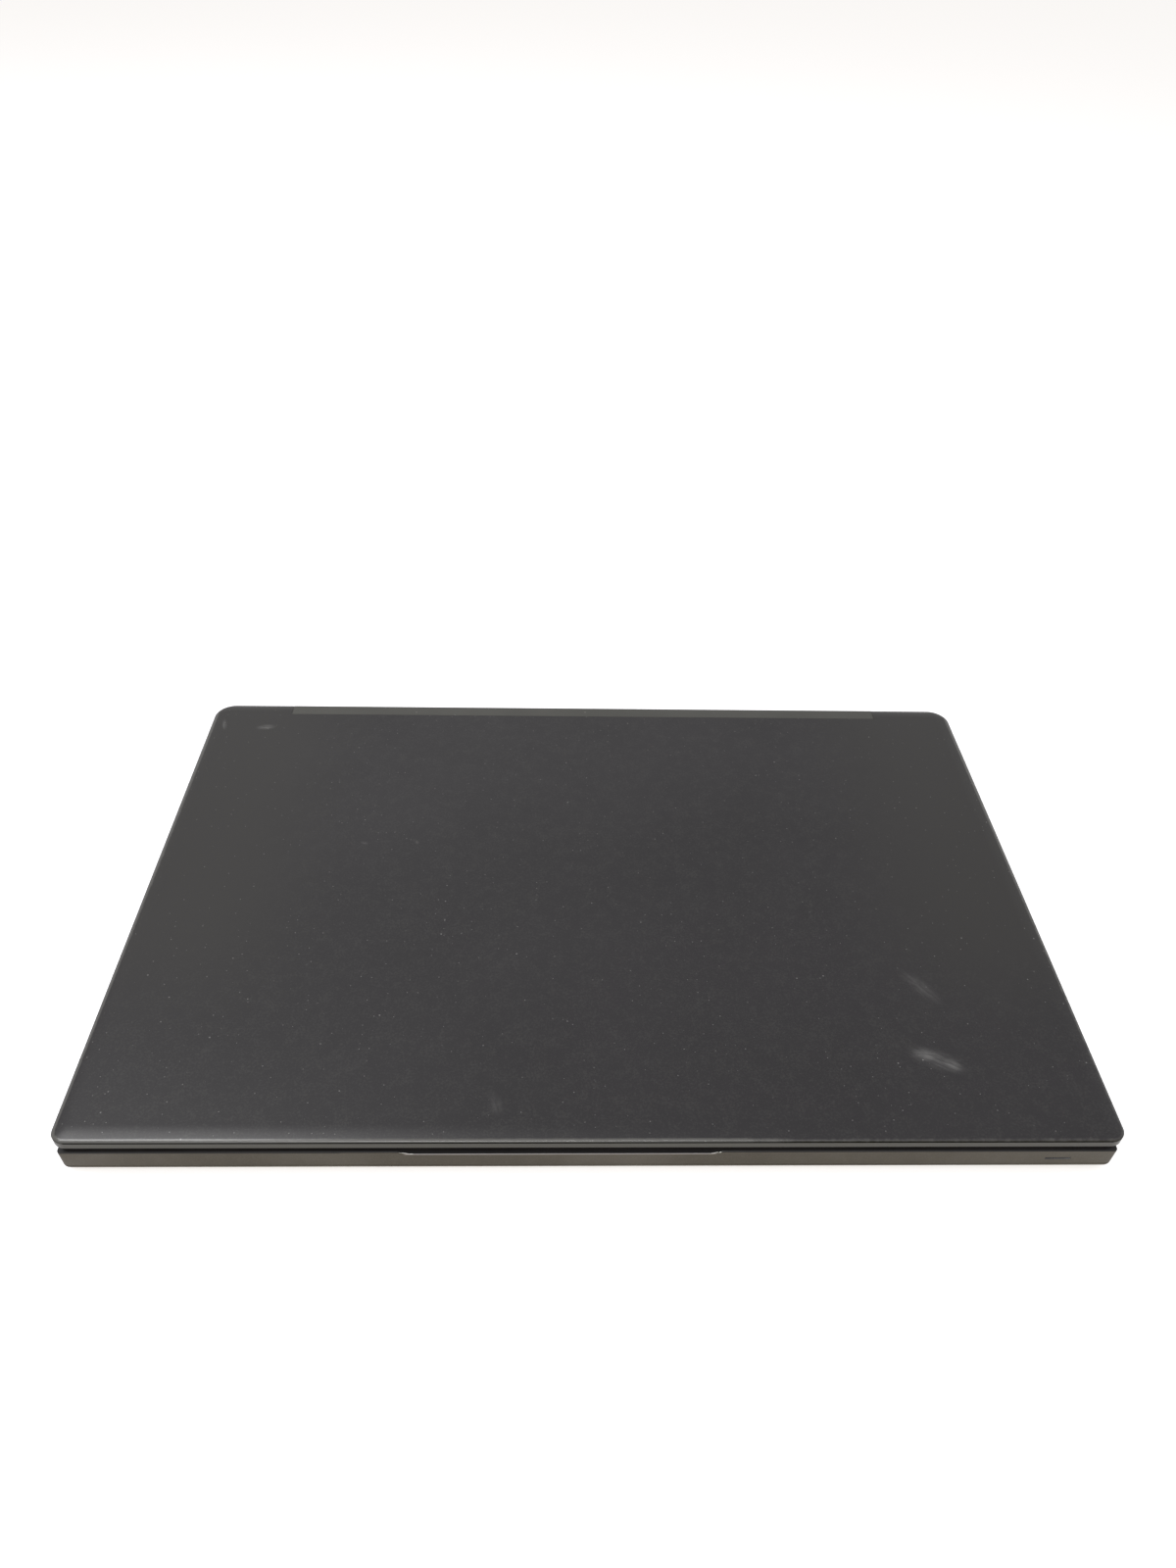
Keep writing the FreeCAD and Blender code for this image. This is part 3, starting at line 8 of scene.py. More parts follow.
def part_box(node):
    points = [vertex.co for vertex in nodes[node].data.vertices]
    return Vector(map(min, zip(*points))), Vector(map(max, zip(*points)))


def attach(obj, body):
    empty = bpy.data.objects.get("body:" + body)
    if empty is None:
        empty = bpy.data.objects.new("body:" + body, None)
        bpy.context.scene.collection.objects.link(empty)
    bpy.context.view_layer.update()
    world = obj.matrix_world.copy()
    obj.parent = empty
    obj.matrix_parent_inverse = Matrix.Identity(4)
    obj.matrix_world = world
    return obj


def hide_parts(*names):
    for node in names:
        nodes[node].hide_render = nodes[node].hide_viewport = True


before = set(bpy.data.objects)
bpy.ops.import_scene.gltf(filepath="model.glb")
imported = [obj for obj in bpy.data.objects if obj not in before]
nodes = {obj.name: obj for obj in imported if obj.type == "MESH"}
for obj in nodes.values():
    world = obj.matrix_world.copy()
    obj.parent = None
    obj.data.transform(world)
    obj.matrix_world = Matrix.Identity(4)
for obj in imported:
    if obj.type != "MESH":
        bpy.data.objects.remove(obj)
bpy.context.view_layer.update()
scene = bpy.context.scene
scene.view_settings.view_transform = "Standard"
mm = 0.001
sliver = 1e-6  # metres, far below anything drawn
touch = 1e-5  # metres, counts as the same level


# shader helpers
def feed(tree, target, value):
    if isinstance(value, bpy.types.NodeSocket):
        tree.links.new(value, target)
    else:
        target.default_value = value


def addNode(tree, kind, *values):
    node = tree.nodes.new(kind)
    for target, value in zip(node.inputs, values):
        feed(tree, target, value)
    return node


def calc(tree, operation, *values, clamp=False):
    node = addNode(tree, "ShaderNodeMath", *values)
    node.operation = operation
    node.use_clamp = clamp
    return node.outputs[0]


def ease(tree, value, low, high, start=0.0, end=1.0):
    node = tree.nodes.new("ShaderNodeMapRange")
    node.interpolation_type = "SMOOTHSTEP"
    for label, given in (("Value", value), ("From Min", low), ("From Max", high),
                         ("To Min", start), ("To Max", end)):
        feed(tree, node.inputs[label], given)
    return node.outputs["Result"]


def noise(tree, vector, scale, detail, rough=0.5):
    node = tree.nodes.new("ShaderNodeTexNoise")
    feed(tree, node.inputs["Vector"], vector)
    feed(tree, node.inputs["Scale"], scale)
    node.inputs["Detail"].default_value = detail
    node.inputs["Roughness"].default_value = rough
    return node.outputs[0]


def blendTint(tree, factor, first, second):
    node = tree.nodes.new("ShaderNodeMix")
    node.data_type = "RGBA"
    feed(tree, node.inputs[0], factor)
    feed(tree, node.inputs[6], first)
    feed(tree, node.inputs[7], second)
    return node.outputs[2]


def stretch(tree, vector, amounts):
    node = addNode(tree, "ShaderNodeVectorMath", vector, amounts)
    node.operation = "MULTIPLY"
    return node.outputs[0]


def makeGroup(name, entries, results):
    tree = bpy.data.node_groups.new(name, "ShaderNodeTree")
    for label, start in entries.items():
        kind = "NodeSocketFloat" if isinstance(start, float) else "NodeSocketVector"
        socket = tree.interface.new_socket(name=label, in_out="INPUT", socket_type=kind)
        if start is not None:
            socket.default_value = start
    for label in results:
        tree.interface.new_socket(name=label, in_out="OUTPUT", socket_type="NodeSocketFloat")
    taken = tree.nodes.new("NodeGroupInput").outputs
    given = tree.nodes.new("NodeGroupOutput").inputs
    return tree, taken, given


def useGroup(tree, group, **values):
    node = tree.nodes.new("ShaderNodeGroup")
    node.node_tree = group
    for label, value in values.items():
        feed(tree, node.inputs[label], value)
    return node.outputs[0]


def sumMasks(tree, masks):
    total = masks[0]
    for mask in masks[1:]:
        total = calc(tree, "ADD", total, mask)
    return calc(tree, "MINIMUM", total, 1.0)


# shared effects
grainForm = {"broadScale": 0.16, "fine": 0.7, "broad": 0.3}
cloudForm = {"low": 0.34, "high": 0.68}
dustForm = {"smallest": 0.35, "core": 0.4}
rubForm = {"streaks": (160.0, 900.0, 1.0), "thin": 0.22, "thick": 0.72, "core": 0.15}
wearHighlightForm = {"chips": 0.6, "full": 0.5}


def grainGroup():
    tree, taken, given = makeGroup("paintGrain", {"Vector": None, "Scale": 2600.0}, ["Height"])
    fine = noise(tree, taken["Vector"], taken["Scale"], detail=2.0, rough=0.6)
    wide = calc(tree, "MULTIPLY", taken["Scale"], grainForm["broadScale"])
    broad = noise(tree, taken["Vector"], wide, detail=2.0)
    mixed = calc(tree, "ADD", calc(tree, "MULTIPLY", fine, grainForm["fine"]),
                 calc(tree, "MULTIPLY", broad, grainForm["broad"]))
    tree.links.new(mixed, given["Height"])
    return tree


def cloudGroup():
    tree, taken, given = makeGroup("handClouds", {"Vector": None, "Scale": 14.0}, ["Mask"])
    broad = noise(tree, taken["Vector"], taken["Scale"], detail=4.0, rough=0.55)
    tree.links.new(ease(tree, broad, cloudForm["low"], cloudForm["high"]), given["Mask"])
    return tree


def dustGroup():
    entries = {"Vector": None, "Spacing": 160.0, "Share": 0.1, "Size": 0.06}
    tree, taken, given = makeGroup("dustSpecks", entries, ["Mask"])
    cells = tree.nodes.new("ShaderNodeTexVoronoi")
    cells.voronoi_dimensions = "2D"
    tree.links.new(taken["Vector"], cells.inputs["Vector"])
    tree.links.new(taken["Spacing"], cells.inputs["Scale"])
    parts = addNode(tree, "ShaderNodeSeparateColor", cells.outputs["Color"])
    chosen = calc(tree, "LESS_THAN", parts.outputs[0], taken["Share"])
    spread = calc(tree, "ADD", parts.outputs[1], dustForm["smallest"])
    reach = calc(tree, "MULTIPLY", taken["Size"], spread)
    core = calc(tree, "MULTIPLY", reach, dustForm["core"])
    spot = ease(tree, cells.outputs["Distance"], core, reach, 1.0, 0.0)
    tree.links.new(calc(tree, "MULTIPLY", spot, chosen), given["Mask"])
    return tree


def rubGroup():
    entries = {"Vector": None, "Place": (0.0, 0.0, 0.0), "Turn": 0.0, "Length": 0.01, "Width": 0.003}
    tree, taken, given = makeGroup("rubMark", entries, ["Mask"])
    shift = addNode(tree, "ShaderNodeVectorMath", taken["Vector"], taken["Place"])
    shift.operation = "SUBTRACT"
    turn = tree.nodes.new("ShaderNodeVectorRotate")
    turn.rotation_type = "Z_AXIS"
    tree.links.new(shift.outputs[0], turn.inputs["Vector"])
    tree.links.new(taken["Turn"], turn.inputs["Angle"])
    parts = addNode(tree, "ShaderNodeSeparateXYZ", turn.outputs[0])
    along = calc(tree, "DIVIDE", parts.outputs[0], taken["Length"])
    across = calc(tree, "DIVIDE", parts.outputs[1], taken["Width"])
    reach = calc(tree, "SQRT", calc(tree, "ADD", calc(tree, "MULTIPLY", along, along),
                                    calc(tree, "MULTIPLY", across, across)))
    drawn = stretch(tree, turn.outputs[0], rubForm["streaks"])
    streaks = noise(tree, drawn, 1.0, detail=3.0, rough=0.6)
    body = ease(tree, reach, rubForm["core"], 1.0, 1.0, 0.0)
    lines = ease(tree, streaks, rubForm["thin"], rubForm["thick"])
    tree.links.new(calc(tree, "MULTIPLY", body, lines), given["Mask"])
    return tree


# edge mask for worn paint, also used to paint highlights along edges: chip noise cut from the edge attribute
def wearHighlightGroup():
    tree, taken, given = makeGroup("edgeWearHighlight", {"Vector": None, "Edge": 0.0, "Scale": 420.0}, ["Mask"])
    chips = noise(tree, taken["Vector"], taken["Scale"], detail=4.0, rough=0.6)
    raised = calc(tree, "SUBTRACT", taken["Edge"], calc(tree, "MULTIPLY", chips, wearHighlightForm["chips"]))
    tree.links.new(ease(tree, raised, 0.0, wearHighlightForm["full"]), given["Mask"])
    return tree


def brushGroup():
    entries = {"Vector": None, "Lines": (1.0, 1.0, 1.0), "Scale": 1500.0}
    tree, taken, given = makeGroup("brushLines", entries, ["Height"])
    laid = stretch(tree, taken["Vector"], taken["Lines"])
    tree.links.new(noise(tree, laid, taken["Scale"], detail=3.0, rough=0.6), given["Height"])
    return tree


paintGrain = grainGroup()
handClouds = cloudGroup()
dustSpecks = dustGroup()
rubMark = rubGroup()
edgeWearHighlight = wearHighlightGroup()
brushLines = brushGroup()
print("stage: shared effects")


# materials
paintForm = {"fleckLow": 0.45, "fleckHigh": 0.70, "upLow": 0.5, "upHigh": 0.8,
             "fluffSpacing": 0.37, "fluffShare": 0.6, "fluffSize": 0.55}
metalForm = {"low": 0.3, "high": 0.7}


def startMaterial(name):
    material = bpy.data.materials.new(name)
    material.use_nodes = True
    tree = material.node_tree
    shader = tree.nodes["Principled BSDF"]
    place = tree.nodes.new("ShaderNodeTexCoord").outputs["Object"]
    return material, tree, shader, place


def addBump(tree, shader, height, depth):
    bump = tree.nodes.new("ShaderNodeBump")
    bump.inputs["Strength"].default_value = 1.0
    bump.inputs["Distance"].default_value = depth
    feed(tree, bump.inputs["Height"], height)
    tree.links.new(bump.outputs["Normal"], shader.inputs["Normal"])


def opaque(red, green, blue):
    return (red, green, blue, 1.0)


def paintMaterial(name, look):
    material, tree, shader, place = startMaterial(name)
    clouds = useGroup(tree, handClouds, Vector=place, Scale=look["cloudScale"])
    grain = useGroup(tree, paintGrain, Vector=place, Scale=look["grainScale"])
    tint = blendTint(tree, clouds, opaque(*look["dark"]), opaque(*look["pale"]))
    rough = ease(tree, clouds, 0.0, 1.0, look["roughHigh"], look["roughLow"])
    if "fleckTint" in look:
        fleck = useGroup(tree, paintGrain, Vector=place, Scale=look["fleckScale"])
        spots = ease(tree, fleck, paintForm["fleckLow"], paintForm["fleckHigh"], 0.0, look["fleckAmount"])
        tint = blendTint(tree, spots, tint, opaque(*look["fleckTint"]))
    facing = addNode(tree, "ShaderNodeSeparateXYZ", place.node.outputs["Normal"])
    upward = ease(tree, facing.outputs["Z"], paintForm["upLow"], paintForm["upHigh"])
    # painted sheen: the lid colour turns lighter and olive towards its left and right margins, fading out
    # towards the front, standing in for light glancing off the paint
    if "paintedSheenTint" in look:
        where = addNode(tree, "ShaderNodeSeparateXYZ", place)
        outer = ease(tree, calc(tree, "ABSOLUTE", where.outputs["X"]), *look["paintedSheenSide"])
        behind = ease(tree, where.outputs["Y"], *look["paintedSheenFront"])
        tint = blendTint(tree, calc(tree, "MULTIPLY", outer, behind), tint, opaque(*look["paintedSheenTint"]))
    # painted reflection: faces that do not face up take an olive tint, standing in for warm floor light
    # reflected on the lid's edge faces
    if "paintedSideBounceTint" in look:
        tint = blendTint(tree, upward, opaque(*look["paintedSideBounceTint"]), tint)
    if "rubs" in look:
        marks = []
        for spot in look["rubs"]:
            mark = useGroup(tree, rubMark, Vector=place, Place=(spot["x"] * mm, spot["y"] * mm, 0.0),
                            Turn=math.radians(spot["turn"]), Length=spot["length"] * mm,
                            Width=spot["width"] * mm)
            marks.append(calc(tree, "MULTIPLY", mark, spot["strength"]))
        tint = blendTint(tree, calc(tree, "MULTIPLY", sumMasks(tree, marks), upward), tint,
                         opaque(*look["rubTint"]))
    # edges marked by the vertex attribute get a paler tint, partly worn paint and partly a painted
    # highlight, and a smoother finish
    if "wearHighlightTint" in look:
        edge = tree.nodes.new("ShaderNodeAttribute")
        edge.attribute_name = "edgeRubHighlight"
        wearHighlightMask = useGroup(tree, edgeWearHighlight, Vector=place, Edge=edge.outputs["Fac"], Scale=look["wearHighlightScale"])
        tint = blendTint(tree, calc(tree, "MULTIPLY", wearHighlightMask, look["wearHighlightAmount"]), tint,
                         opaque(*look["wearHighlightTint"]))
        rough = ease(tree, edge.outputs["Fac"], 0.0, 1.0, rough, look["polish"])
    if "dustShare" in look:
        dust = useGroup(tree, dustSpecks, Vector=place, Spacing=look["dustSpacing"],
                        Share=look["dustShare"], Size=look["dustSize"])
        fluff = useGroup(tree, dustSpecks, Vector=place,
                         Spacing=look["dustSpacing"] * paintForm["fluffSpacing"],
                         Share=look["dustShare"] * paintForm["fluffShare"],
                         Size=look["dustSize"] * paintForm["fluffSize"])
        settled = calc(tree, "MULTIPLY", sumMasks(tree, [dust, fluff]), upward)
        tint = blendTint(tree, calc(tree, "MULTIPLY", settled, look["dustAmount"]), tint,
                         opaque(*look["dustTint"]))
    tree.links.new(tint, shader.inputs["Base Color"])
    tree.links.new(rough, shader.inputs["Roughness"])
    addBump(tree, shader, grain, look["grainDepth"] * mm)
    shader.inputs["Specular IOR Level"].default_value = look["shine"]
    return material


def metalMaterial(name, look):
    material, tree, shader, place = startMaterial(name)
    lines = useGroup(tree, brushLines, Vector=place, Lines=look["lines"], Scale=look["scale"])
    clouds = useGroup(tree, handClouds, Vector=place, Scale=look["cloudScale"])
    tint = blendTint(tree, clouds, opaque(*look["dark"]), opaque(*look["pale"]))
    tree.links.new(tint, shader.inputs["Base Color"])
    rough = ease(tree, lines, metalForm["low"], metalForm["high"], look["roughLow"], look["roughHigh"])
    tree.links.new(rough, shader.inputs["Roughness"])
    shader.inputs["Metallic"].default_value = 1.0
    addBump(tree, shader, lines, look["depth"] * mm)
    return material


def boardMaterial(name, look):
    material, tree, shader, place = startMaterial(name)
    tracks = tree.nodes.new("ShaderNodeTexBrick")
    tree.links.new(place, tracks.inputs["Vector"])
    tracks.inputs["Scale"].default_value = look["scale"]
    tracks.inputs["Color1"].default_value = opaque(*look["dark"])
    tracks.inputs["Color2"].default_value = opaque(*look["pale"])
    tracks.inputs["Mortar"].default_value = opaque(*look["track"])
    tracks.inputs["Mortar Size"].default_value = look["trackWidth"]
    tree.links.new(tracks.outputs["Color"], shader.inputs["Base Color"])
    clouds = useGroup(tree, handClouds, Vector=place, Scale=look["cloudScale"])
    tree.links.new(ease(tree, clouds, 0.0, 1.0, look["roughLow"], look["roughHigh"]),
                   shader.inputs["Roughness"])
    addBump(tree, shader, tracks.outputs["Fac"], look["depth"] * mm)
    return material


# the painted sheen's side and front limits are metres from the middle, rubs are millimetres
lidLook = {
    "dark": (0.0074, 0.0061, 0.0074), "pale": (0.0104, 0.0089, 0.0104),
    # the side tint is a painted reflection of warm floor light on the lid's edge faces
    "paintedSideBounceTint": (0.0150, 0.0130, 0.0040),
    # painted sheen: a lighter olive tint towards the left and right margins
    "paintedSheenTint": (0.0146, 0.0132, 0.0126), "paintedSheenSide": (0.085, 0.145), "paintedSheenFront": (-0.085, -0.010),
    "roughLow": 0.36, "roughHigh": 0.40, "cloudScale": 11.0, "shine": 0.44,
    "grainScale": 2600.0, "grainDepth": 0.010,
    "fleckTint": (0.034, 0.033, 0.031), "fleckScale": 1500.0, "fleckAmount": 0.36,
    "rubTint": (0.115, 0.112, 0.110),
    "rubs": [
        {"x": 113.0, "y": -81.0, "turn": 24.0, "length": 12.0, "width": 5.0, "strength": 0.40},
        {"x": 109.5, "y": -79.2, "turn": 10.0, "length": 5.5, "width": 3.4, "strength": 0.50},
        {"x": 117.5, "y": -83.2, "turn": 30.0, "length": 3.8, "width": 3.0, "strength": 0.50},
        {"x": 115.0, "y": -51.0, "turn": 52.0, "length": 11.0, "width": 4.2, "strength": 0.26},
        {"x": -31.0, "y": -97.5, "turn": 70.0, "length": 6.0, "width": 3.2, "strength": 0.16},
        {"x": -141.0, "y": 93.6, "turn": -8.0, "length": 5.2, "width": 2.4, "strength": 0.60},
        {"x": -159.5, "y": 95.2, "turn": 75.0, "length": 5.0, "width": 1.3, "strength": 0.50},
        {"x": -87.7, "y": 20.2, "turn": 15.0, "length": 2.0, "width": 1.0, "strength": 0.30},
        {"x": -67.1, "y": 20.9, "turn": 60.0, "length": 1.6, "width": 1.0, "strength": 0.30},
    ],
    # paler edge tint: partly worn paint, partly a painted highlight along the top edge
    "wearHighlightTint": (0.085, 0.083, 0.078), "wearHighlightScale": 420.0, "wearHighlightAmount": 0.75, "polish": 0.20,
    "dustTint": (0.22, 0.215, 0.21), "dustSpacing": 300.0, "dustShare": 0.20, "dustSize": 0.056,
    "dustAmount": 0.50,
}
stripLook = {
    "dark": (0.034, 0.0330, 0.0285), "pale": (0.0415, 0.0405, 0.0350),
    "roughLow": 0.40, "roughHigh": 0.48, "cloudScale": 18.0, "shine": 0.5,
    "grainScale": 3600.0, "grainDepth": 0.006,
    "dustTint": (0.22, 0.21, 0.20), "dustSpacing": 170.0, "dustShare": 0.08, "dustSize": 0.06,
    "dustAmount": 0.3,
}
# the case paint is a dark warm colour; part of its warmth is painted warm floor light on the base
caseLook = {
    "dark": (0.0365, 0.0315, 0.0215), "pale": (0.0455, 0.0395, 0.0275),
    "fleckTint": (0.075, 0.068, 0.056), "fleckScale": 1700.0, "fleckAmount": 0.35,
    # the edge tint here is mostly a painted highlight along the scoop's lip, partly rubbed paint
    "wearHighlightTint": (0.20, 0.19, 0.19), "wearHighlightScale": 520.0, "wearHighlightAmount": 0.9, "polish": 0.24,
    "roughLow": 0.46, "roughHigh": 0.58, "cloudScale": 16.0, "shine": 0.32,
    "grainScale": 3000.0, "grainDepth": 0.012,
    "dustTint": (0.22, 0.21, 0.20), "dustSpacing": 170.0, "dustShare": 0.06, "dustSize": 0.055,
    "dustAmount": 0.3,
}
# darker copy of the case paint for the up-facing deck faces and the scoop's inside: the deck's own
# near-black colour and also painted shade from the lid above
deckShadeLook = {
    "dark": (0.0105, 0.0100, 0.0100), "pale": (0.0140, 0.0134, 0.0132),
    "wearHighlightTint": (0.05, 0.05, 0.048), "wearHighlightScale": 520.0, "wearHighlightAmount": 0.3, "polish": 0.24,
    "roughLow": 0.50, "roughHigh": 0.60, "cloudScale": 13.0, "shine": 0.26,
    "grainScale": 2800.0, "grainDepth": 0.014,
    "dustTint": (0.20, 0.195, 0.19), "dustSpacing": 170.0, "dustShare": 0.05, "dustSize": 0.055,
    "dustAmount": 0.25,
}
bezelLook = {
    "dark": (0.0030, 0.0026, 0.0026), "pale": (0.0050, 0.0044, 0.0043),
    "roughLow": 0.62, "roughHigh": 0.74, "cloudScale": 20.0, "shine": 0.02,
    "grainScale": 4200.0, "grainDepth": 0.02,
}
keyLook = {
    "dark": (0.0055, 0.0055, 0.0058), "pale": (0.0085, 0.0085, 0.0088),
    "roughLow": 0.42, "roughHigh": 0.56, "cloudScale": 90.0, "shine": 0.36,
    "grainScale": 5200.0, "grainDepth": 0.012,
}
rubberLook = {
    "dark": (0.011, 0.011, 0.011), "pale": (0.018, 0.018, 0.018),
    "roughLow": 0.72, "roughHigh": 0.84, "cloudScale": 60.0, "shine": 0.3,
    "grainScale": 4200.0, "grainDepth": 0.03,
}
blackLook = {
    "dark": (0.010, 0.010, 0.010), "pale": (0.015, 0.015, 0.015),
    "roughLow": 0.42, "roughHigh": 0.55, "cloudScale": 50.0, "shine": 0.45,
    "grainScale": 3800.0, "grainDepth": 0.014,
}
padLook = {
    "dark": (0.020, 0.020, 0.0205), "pale": (0.026, 0.026, 0.0265),
    "roughLow": 0.34, "roughHigh": 0.46, "cloudScale": 30.0, "shine": 0.5,
    "grainScale": 6000.0, "grainDepth": 0.008,
}
chipLook = {
    "dark": (0.012, 0.012, 0.013), "pale": (0.020, 0.020, 0.021),
    "roughLow": 0.30, "roughHigh": 0.42, "cloudScale": 80.0, "shine": 0.5,
    "grainScale": 6000.0, "grainDepth": 0.006,
}
wrapLook = {
    "dark": (0.016, 0.016, 0.017), "pale": (0.026, 0.026, 0.027),
    "roughLow": 0.28, "roughHigh": 0.40, "cloudScale": 40.0, "shine": 0.5,
    "grainScale": 900.0, "grainDepth": 0.03,
}
membraneLook = {
    "dark": (0.42, 0.42, 0.38), "pale": (0.52, 0.52, 0.48),
    "roughLow": 0.25, "roughHigh": 0.36, "cloudScale": 60.0, "shine": 0.5,
    "grainScale": 2400.0, "grainDepth": 0.01,
}
inkLook = {
    "dark": (0.46, 0.46, 0.46), "pale": (0.58, 0.58, 0.57),
    "roughLow": 0.50, "roughHigh": 0.62, "cloudScale": 400.0, "shine": 0.4,
    "grainScale": 9000.0, "grainDepth": 0.004,
}
windowLook = {
    "dark": (0.003, 0.003, 0.003), "pale": (0.006, 0.006, 0.006),
    "roughLow": 0.25, "roughHigh": 0.38, "cloudScale": 300.0, "shine": 0.25,
    "grainScale": 5000.0, "grainDepth": 0.002,
}
glassLook = {
    "dark": (0.0045, 0.0047, 0.0052), "pale": (0.0062, 0.0064, 0.0070),
    "roughLow": 0.27, "roughHigh": 0.29, "cloudScale": 9.0, "shine": 0.5,
    "grainScale": 9000.0, "grainDepth": 0.003,
}
steelLook = {
    "dark": (0.42, 0.42, 0.43), "pale": (0.55, 0.55, 0.56), "lines": (1.0, 0.06, 1.0), "scale": 2200.0,
    "roughLow": 0.30, "roughHigh": 0.46, "cloudScale": 60.0, "depth": 0.006,
}
socketLook = {
    "dark": (0.50, 0.50, 0.51), "pale": (0.66, 0.66, 0.67), "lines": (0.08, 1.0, 1.0), "scale": 3000.0,
    "roughLow": 0.22, "roughHigh": 0.36, "cloudScale": 120.0, "depth": 0.004,
}
# bright bare metal for the scoop's ramp ends: partly worn-through paint, partly painted glints
rubbedGlintLook = {
    "dark": (0.52, 0.51, 0.49), "pale": (0.64, 0.63, 0.60), "lines": (0.06, 1.0, 1.0), "scale": 2600.0,
    "roughLow": 0.32, "roughHigh": 0.46, "cloudScale": 200.0, "depth": 0.003,
}
pivotLook = {
    "dark": (0.045, 0.045, 0.046), "pale": (0.070, 0.070, 0.071), "lines": (0.05, 1.0, 1.0), "scale": 2400.0,
    "roughLow": 0.34, "roughHigh": 0.48, "cloudScale": 60.0, "depth": 0.005,
}
copperLook = {
    "dark": (0.55, 0.27, 0.16), "pale": (0.72, 0.38, 0.24), "lines": (0.06, 1.0, 1.0), "scale": 2000.0,
    "roughLow": 0.26, "roughHigh": 0.42, "cloudScale": 70.0, "depth": 0.005,
}
finLook = {
    "dark": (0.55, 0.56, 0.57), "pale": (0.70, 0.71, 0.72), "lines": (1.0, 1.0, 0.05), "scale": 2400.0,
    "roughLow": 0.28, "roughHigh": 0.44, "cloudScale": 80.0, "depth": 0.005,
}
boardLook = {
    "dark": (0.008, 0.030, 0.018), "pale": (0.012, 0.040, 0.024), "track": (0.030, 0.080, 0.050),
    "scale": 260.0, "trackWidth": 0.015, "cloudScale": 60.0, "roughLow": 0.30, "roughHigh": 0.45,
    "depth": 0.02,
}

lidPaint = paintMaterial("lidPaint", lidLook)
stripPaint = paintMaterial("stripPaint", stripLook)
casePaint = paintMaterial("casePaint", caseLook)
deckShadePaint = paintMaterial("deckShadePaint", deckShadeLook)
bezelPlastic = paintMaterial("bezelPlastic", bezelLook)
keyPlastic = paintMaterial("keyPlastic", keyLook)
rubber = paintMaterial("rubber", rubberLook)
blackPlastic = paintMaterial("blackPlastic", blackLook)
padSurface = paintMaterial("padSurface", padLook)
chipCase = paintMaterial("chipCase", chipLook)
batteryWrap = paintMaterial("batteryWrap", wrapLook)
membraneFilm = paintMaterial("membraneFilm", membraneLook)
legendInk = paintMaterial("legendInk", inkLook)
smokedWindow = paintMaterial("smokedWindow", windowLook)
screenGlass = paintMaterial("screenGlass", glassLook)
steel = metalMaterial("steel", steelLook)
socketSteel = metalMaterial("socketSteel", socketLook)
darkSteel = metalMaterial("darkSteel", pivotLook)
rubbedGlintMetal = metalMaterial("rubbedGlintMetal", rubbedGlintLook)
copper = metalMaterial("copper", copperLook)
finMetal = metalMaterial("finMetal", finLook)
circuitBoard = boardMaterial("circuitBoard", boardLook)
print("stage: materials")


# mesh helpers
meshForm = {"flatTurn": 0.3, "roundTurn": 50.0, "sharpTurn": 35.0, "cutGap": 1e-7, "facing": 0.9,
            "digits": 4}


def unit(value):
    return min(1.0, max(0.0, value))


def edgeSpan(edge, axis):
    first, second = edge.verts
    return abs(first.co[axis] - second.co[axis])


def mergedCopy(node):
    bm = bmesh.new()
    bm.from_mesh(nodes[node].data)
    bmesh.ops.remove_doubles(bm, verts=bm.verts, dist=sliver)
    return bm


def cadCopy(node):
    bm = mergedCopy(node)
    turn = math.radians(meshForm["flatTurn"])
    bmesh.ops.dissolve_limit(bm, angle_limit=turn, verts=bm.verts, edges=bm.edges)
    return bm


def bevelEdges(bm, edges, width, segments):
    bmesh.ops.bevel(bm, geom=edges, offset=width * mm, offset_type="OFFSET", segments=segments,
                    profile=0.5, affect="EDGES", clamp_overlap=False, material=-1)


def roundEdges(bm, width, segments=2):
    limit = math.radians(meshForm["roundTurn"])
    edges = [edge for edge in bm.edges
             if edge.is_manifold and edge.is_convex and edge.calc_face_angle(0.0) > limit]
    bevelEdges(bm, edges, width, segments)


def roundedSlab(low, high, corner, segments):
    bm = bmesh.new()
    bmesh.ops.create_cube(bm, size=1.0)
    middle = (low + high) / 2
    span = high - low
    for vert in bm.verts:
        vert.co = middle + Vector((vert.co.x * span.x, vert.co.y * span.y, vert.co.z * span.z))
    uprights = [edge for edge in bm.edges if edgeSpan(edge, 2) > span.z / 2]
    bevelEdges(bm, uprights, corner, segments)
    return bm


def topFace(bm, downward=False):
    sign = -1.0 if downward else 1.0
    bm.normal_update()
    flat = [face for face in bm.faces if face.normal.z * sign > meshForm["facing"]]
    return max(flat, key=lambda face: face.calc_area())


def sinkFace(bm, face, margin, depth):
    inner = bmesh.ops.extrude_discrete_faces(bm, faces=[face])["faces"][0]
    spread = [[vert.co[axis] for vert in inner.verts] for axis in (0, 1)]
    for vert in inner.verts:
        for axis, values in enumerate(spread):
            middle = (max(values) + min(values)) / 2
            keep = 1.0 - 2.0 * margin * mm / (max(values) - min(values))
            vert.co[axis] = middle + (vert.co[axis] - middle) * keep
        vert.co.z -= depth * mm
    return inner


def dishTop(bm, form):
    bevelEdges(bm, list(topFace(bm).edges), form["edge"], segments=3)
    face = topFace(bm)
    for margin, depth in form["rings"]:
        face = sinkFace(bm, face, margin, depth)


def joinInto(whole, part):
    carrier = bpy.data.meshes.new("carrier")
    part.to_mesh(carrier)
    part.free()
    whole.from_mesh(carrier)
    bpy.data.meshes.remove(carrier)


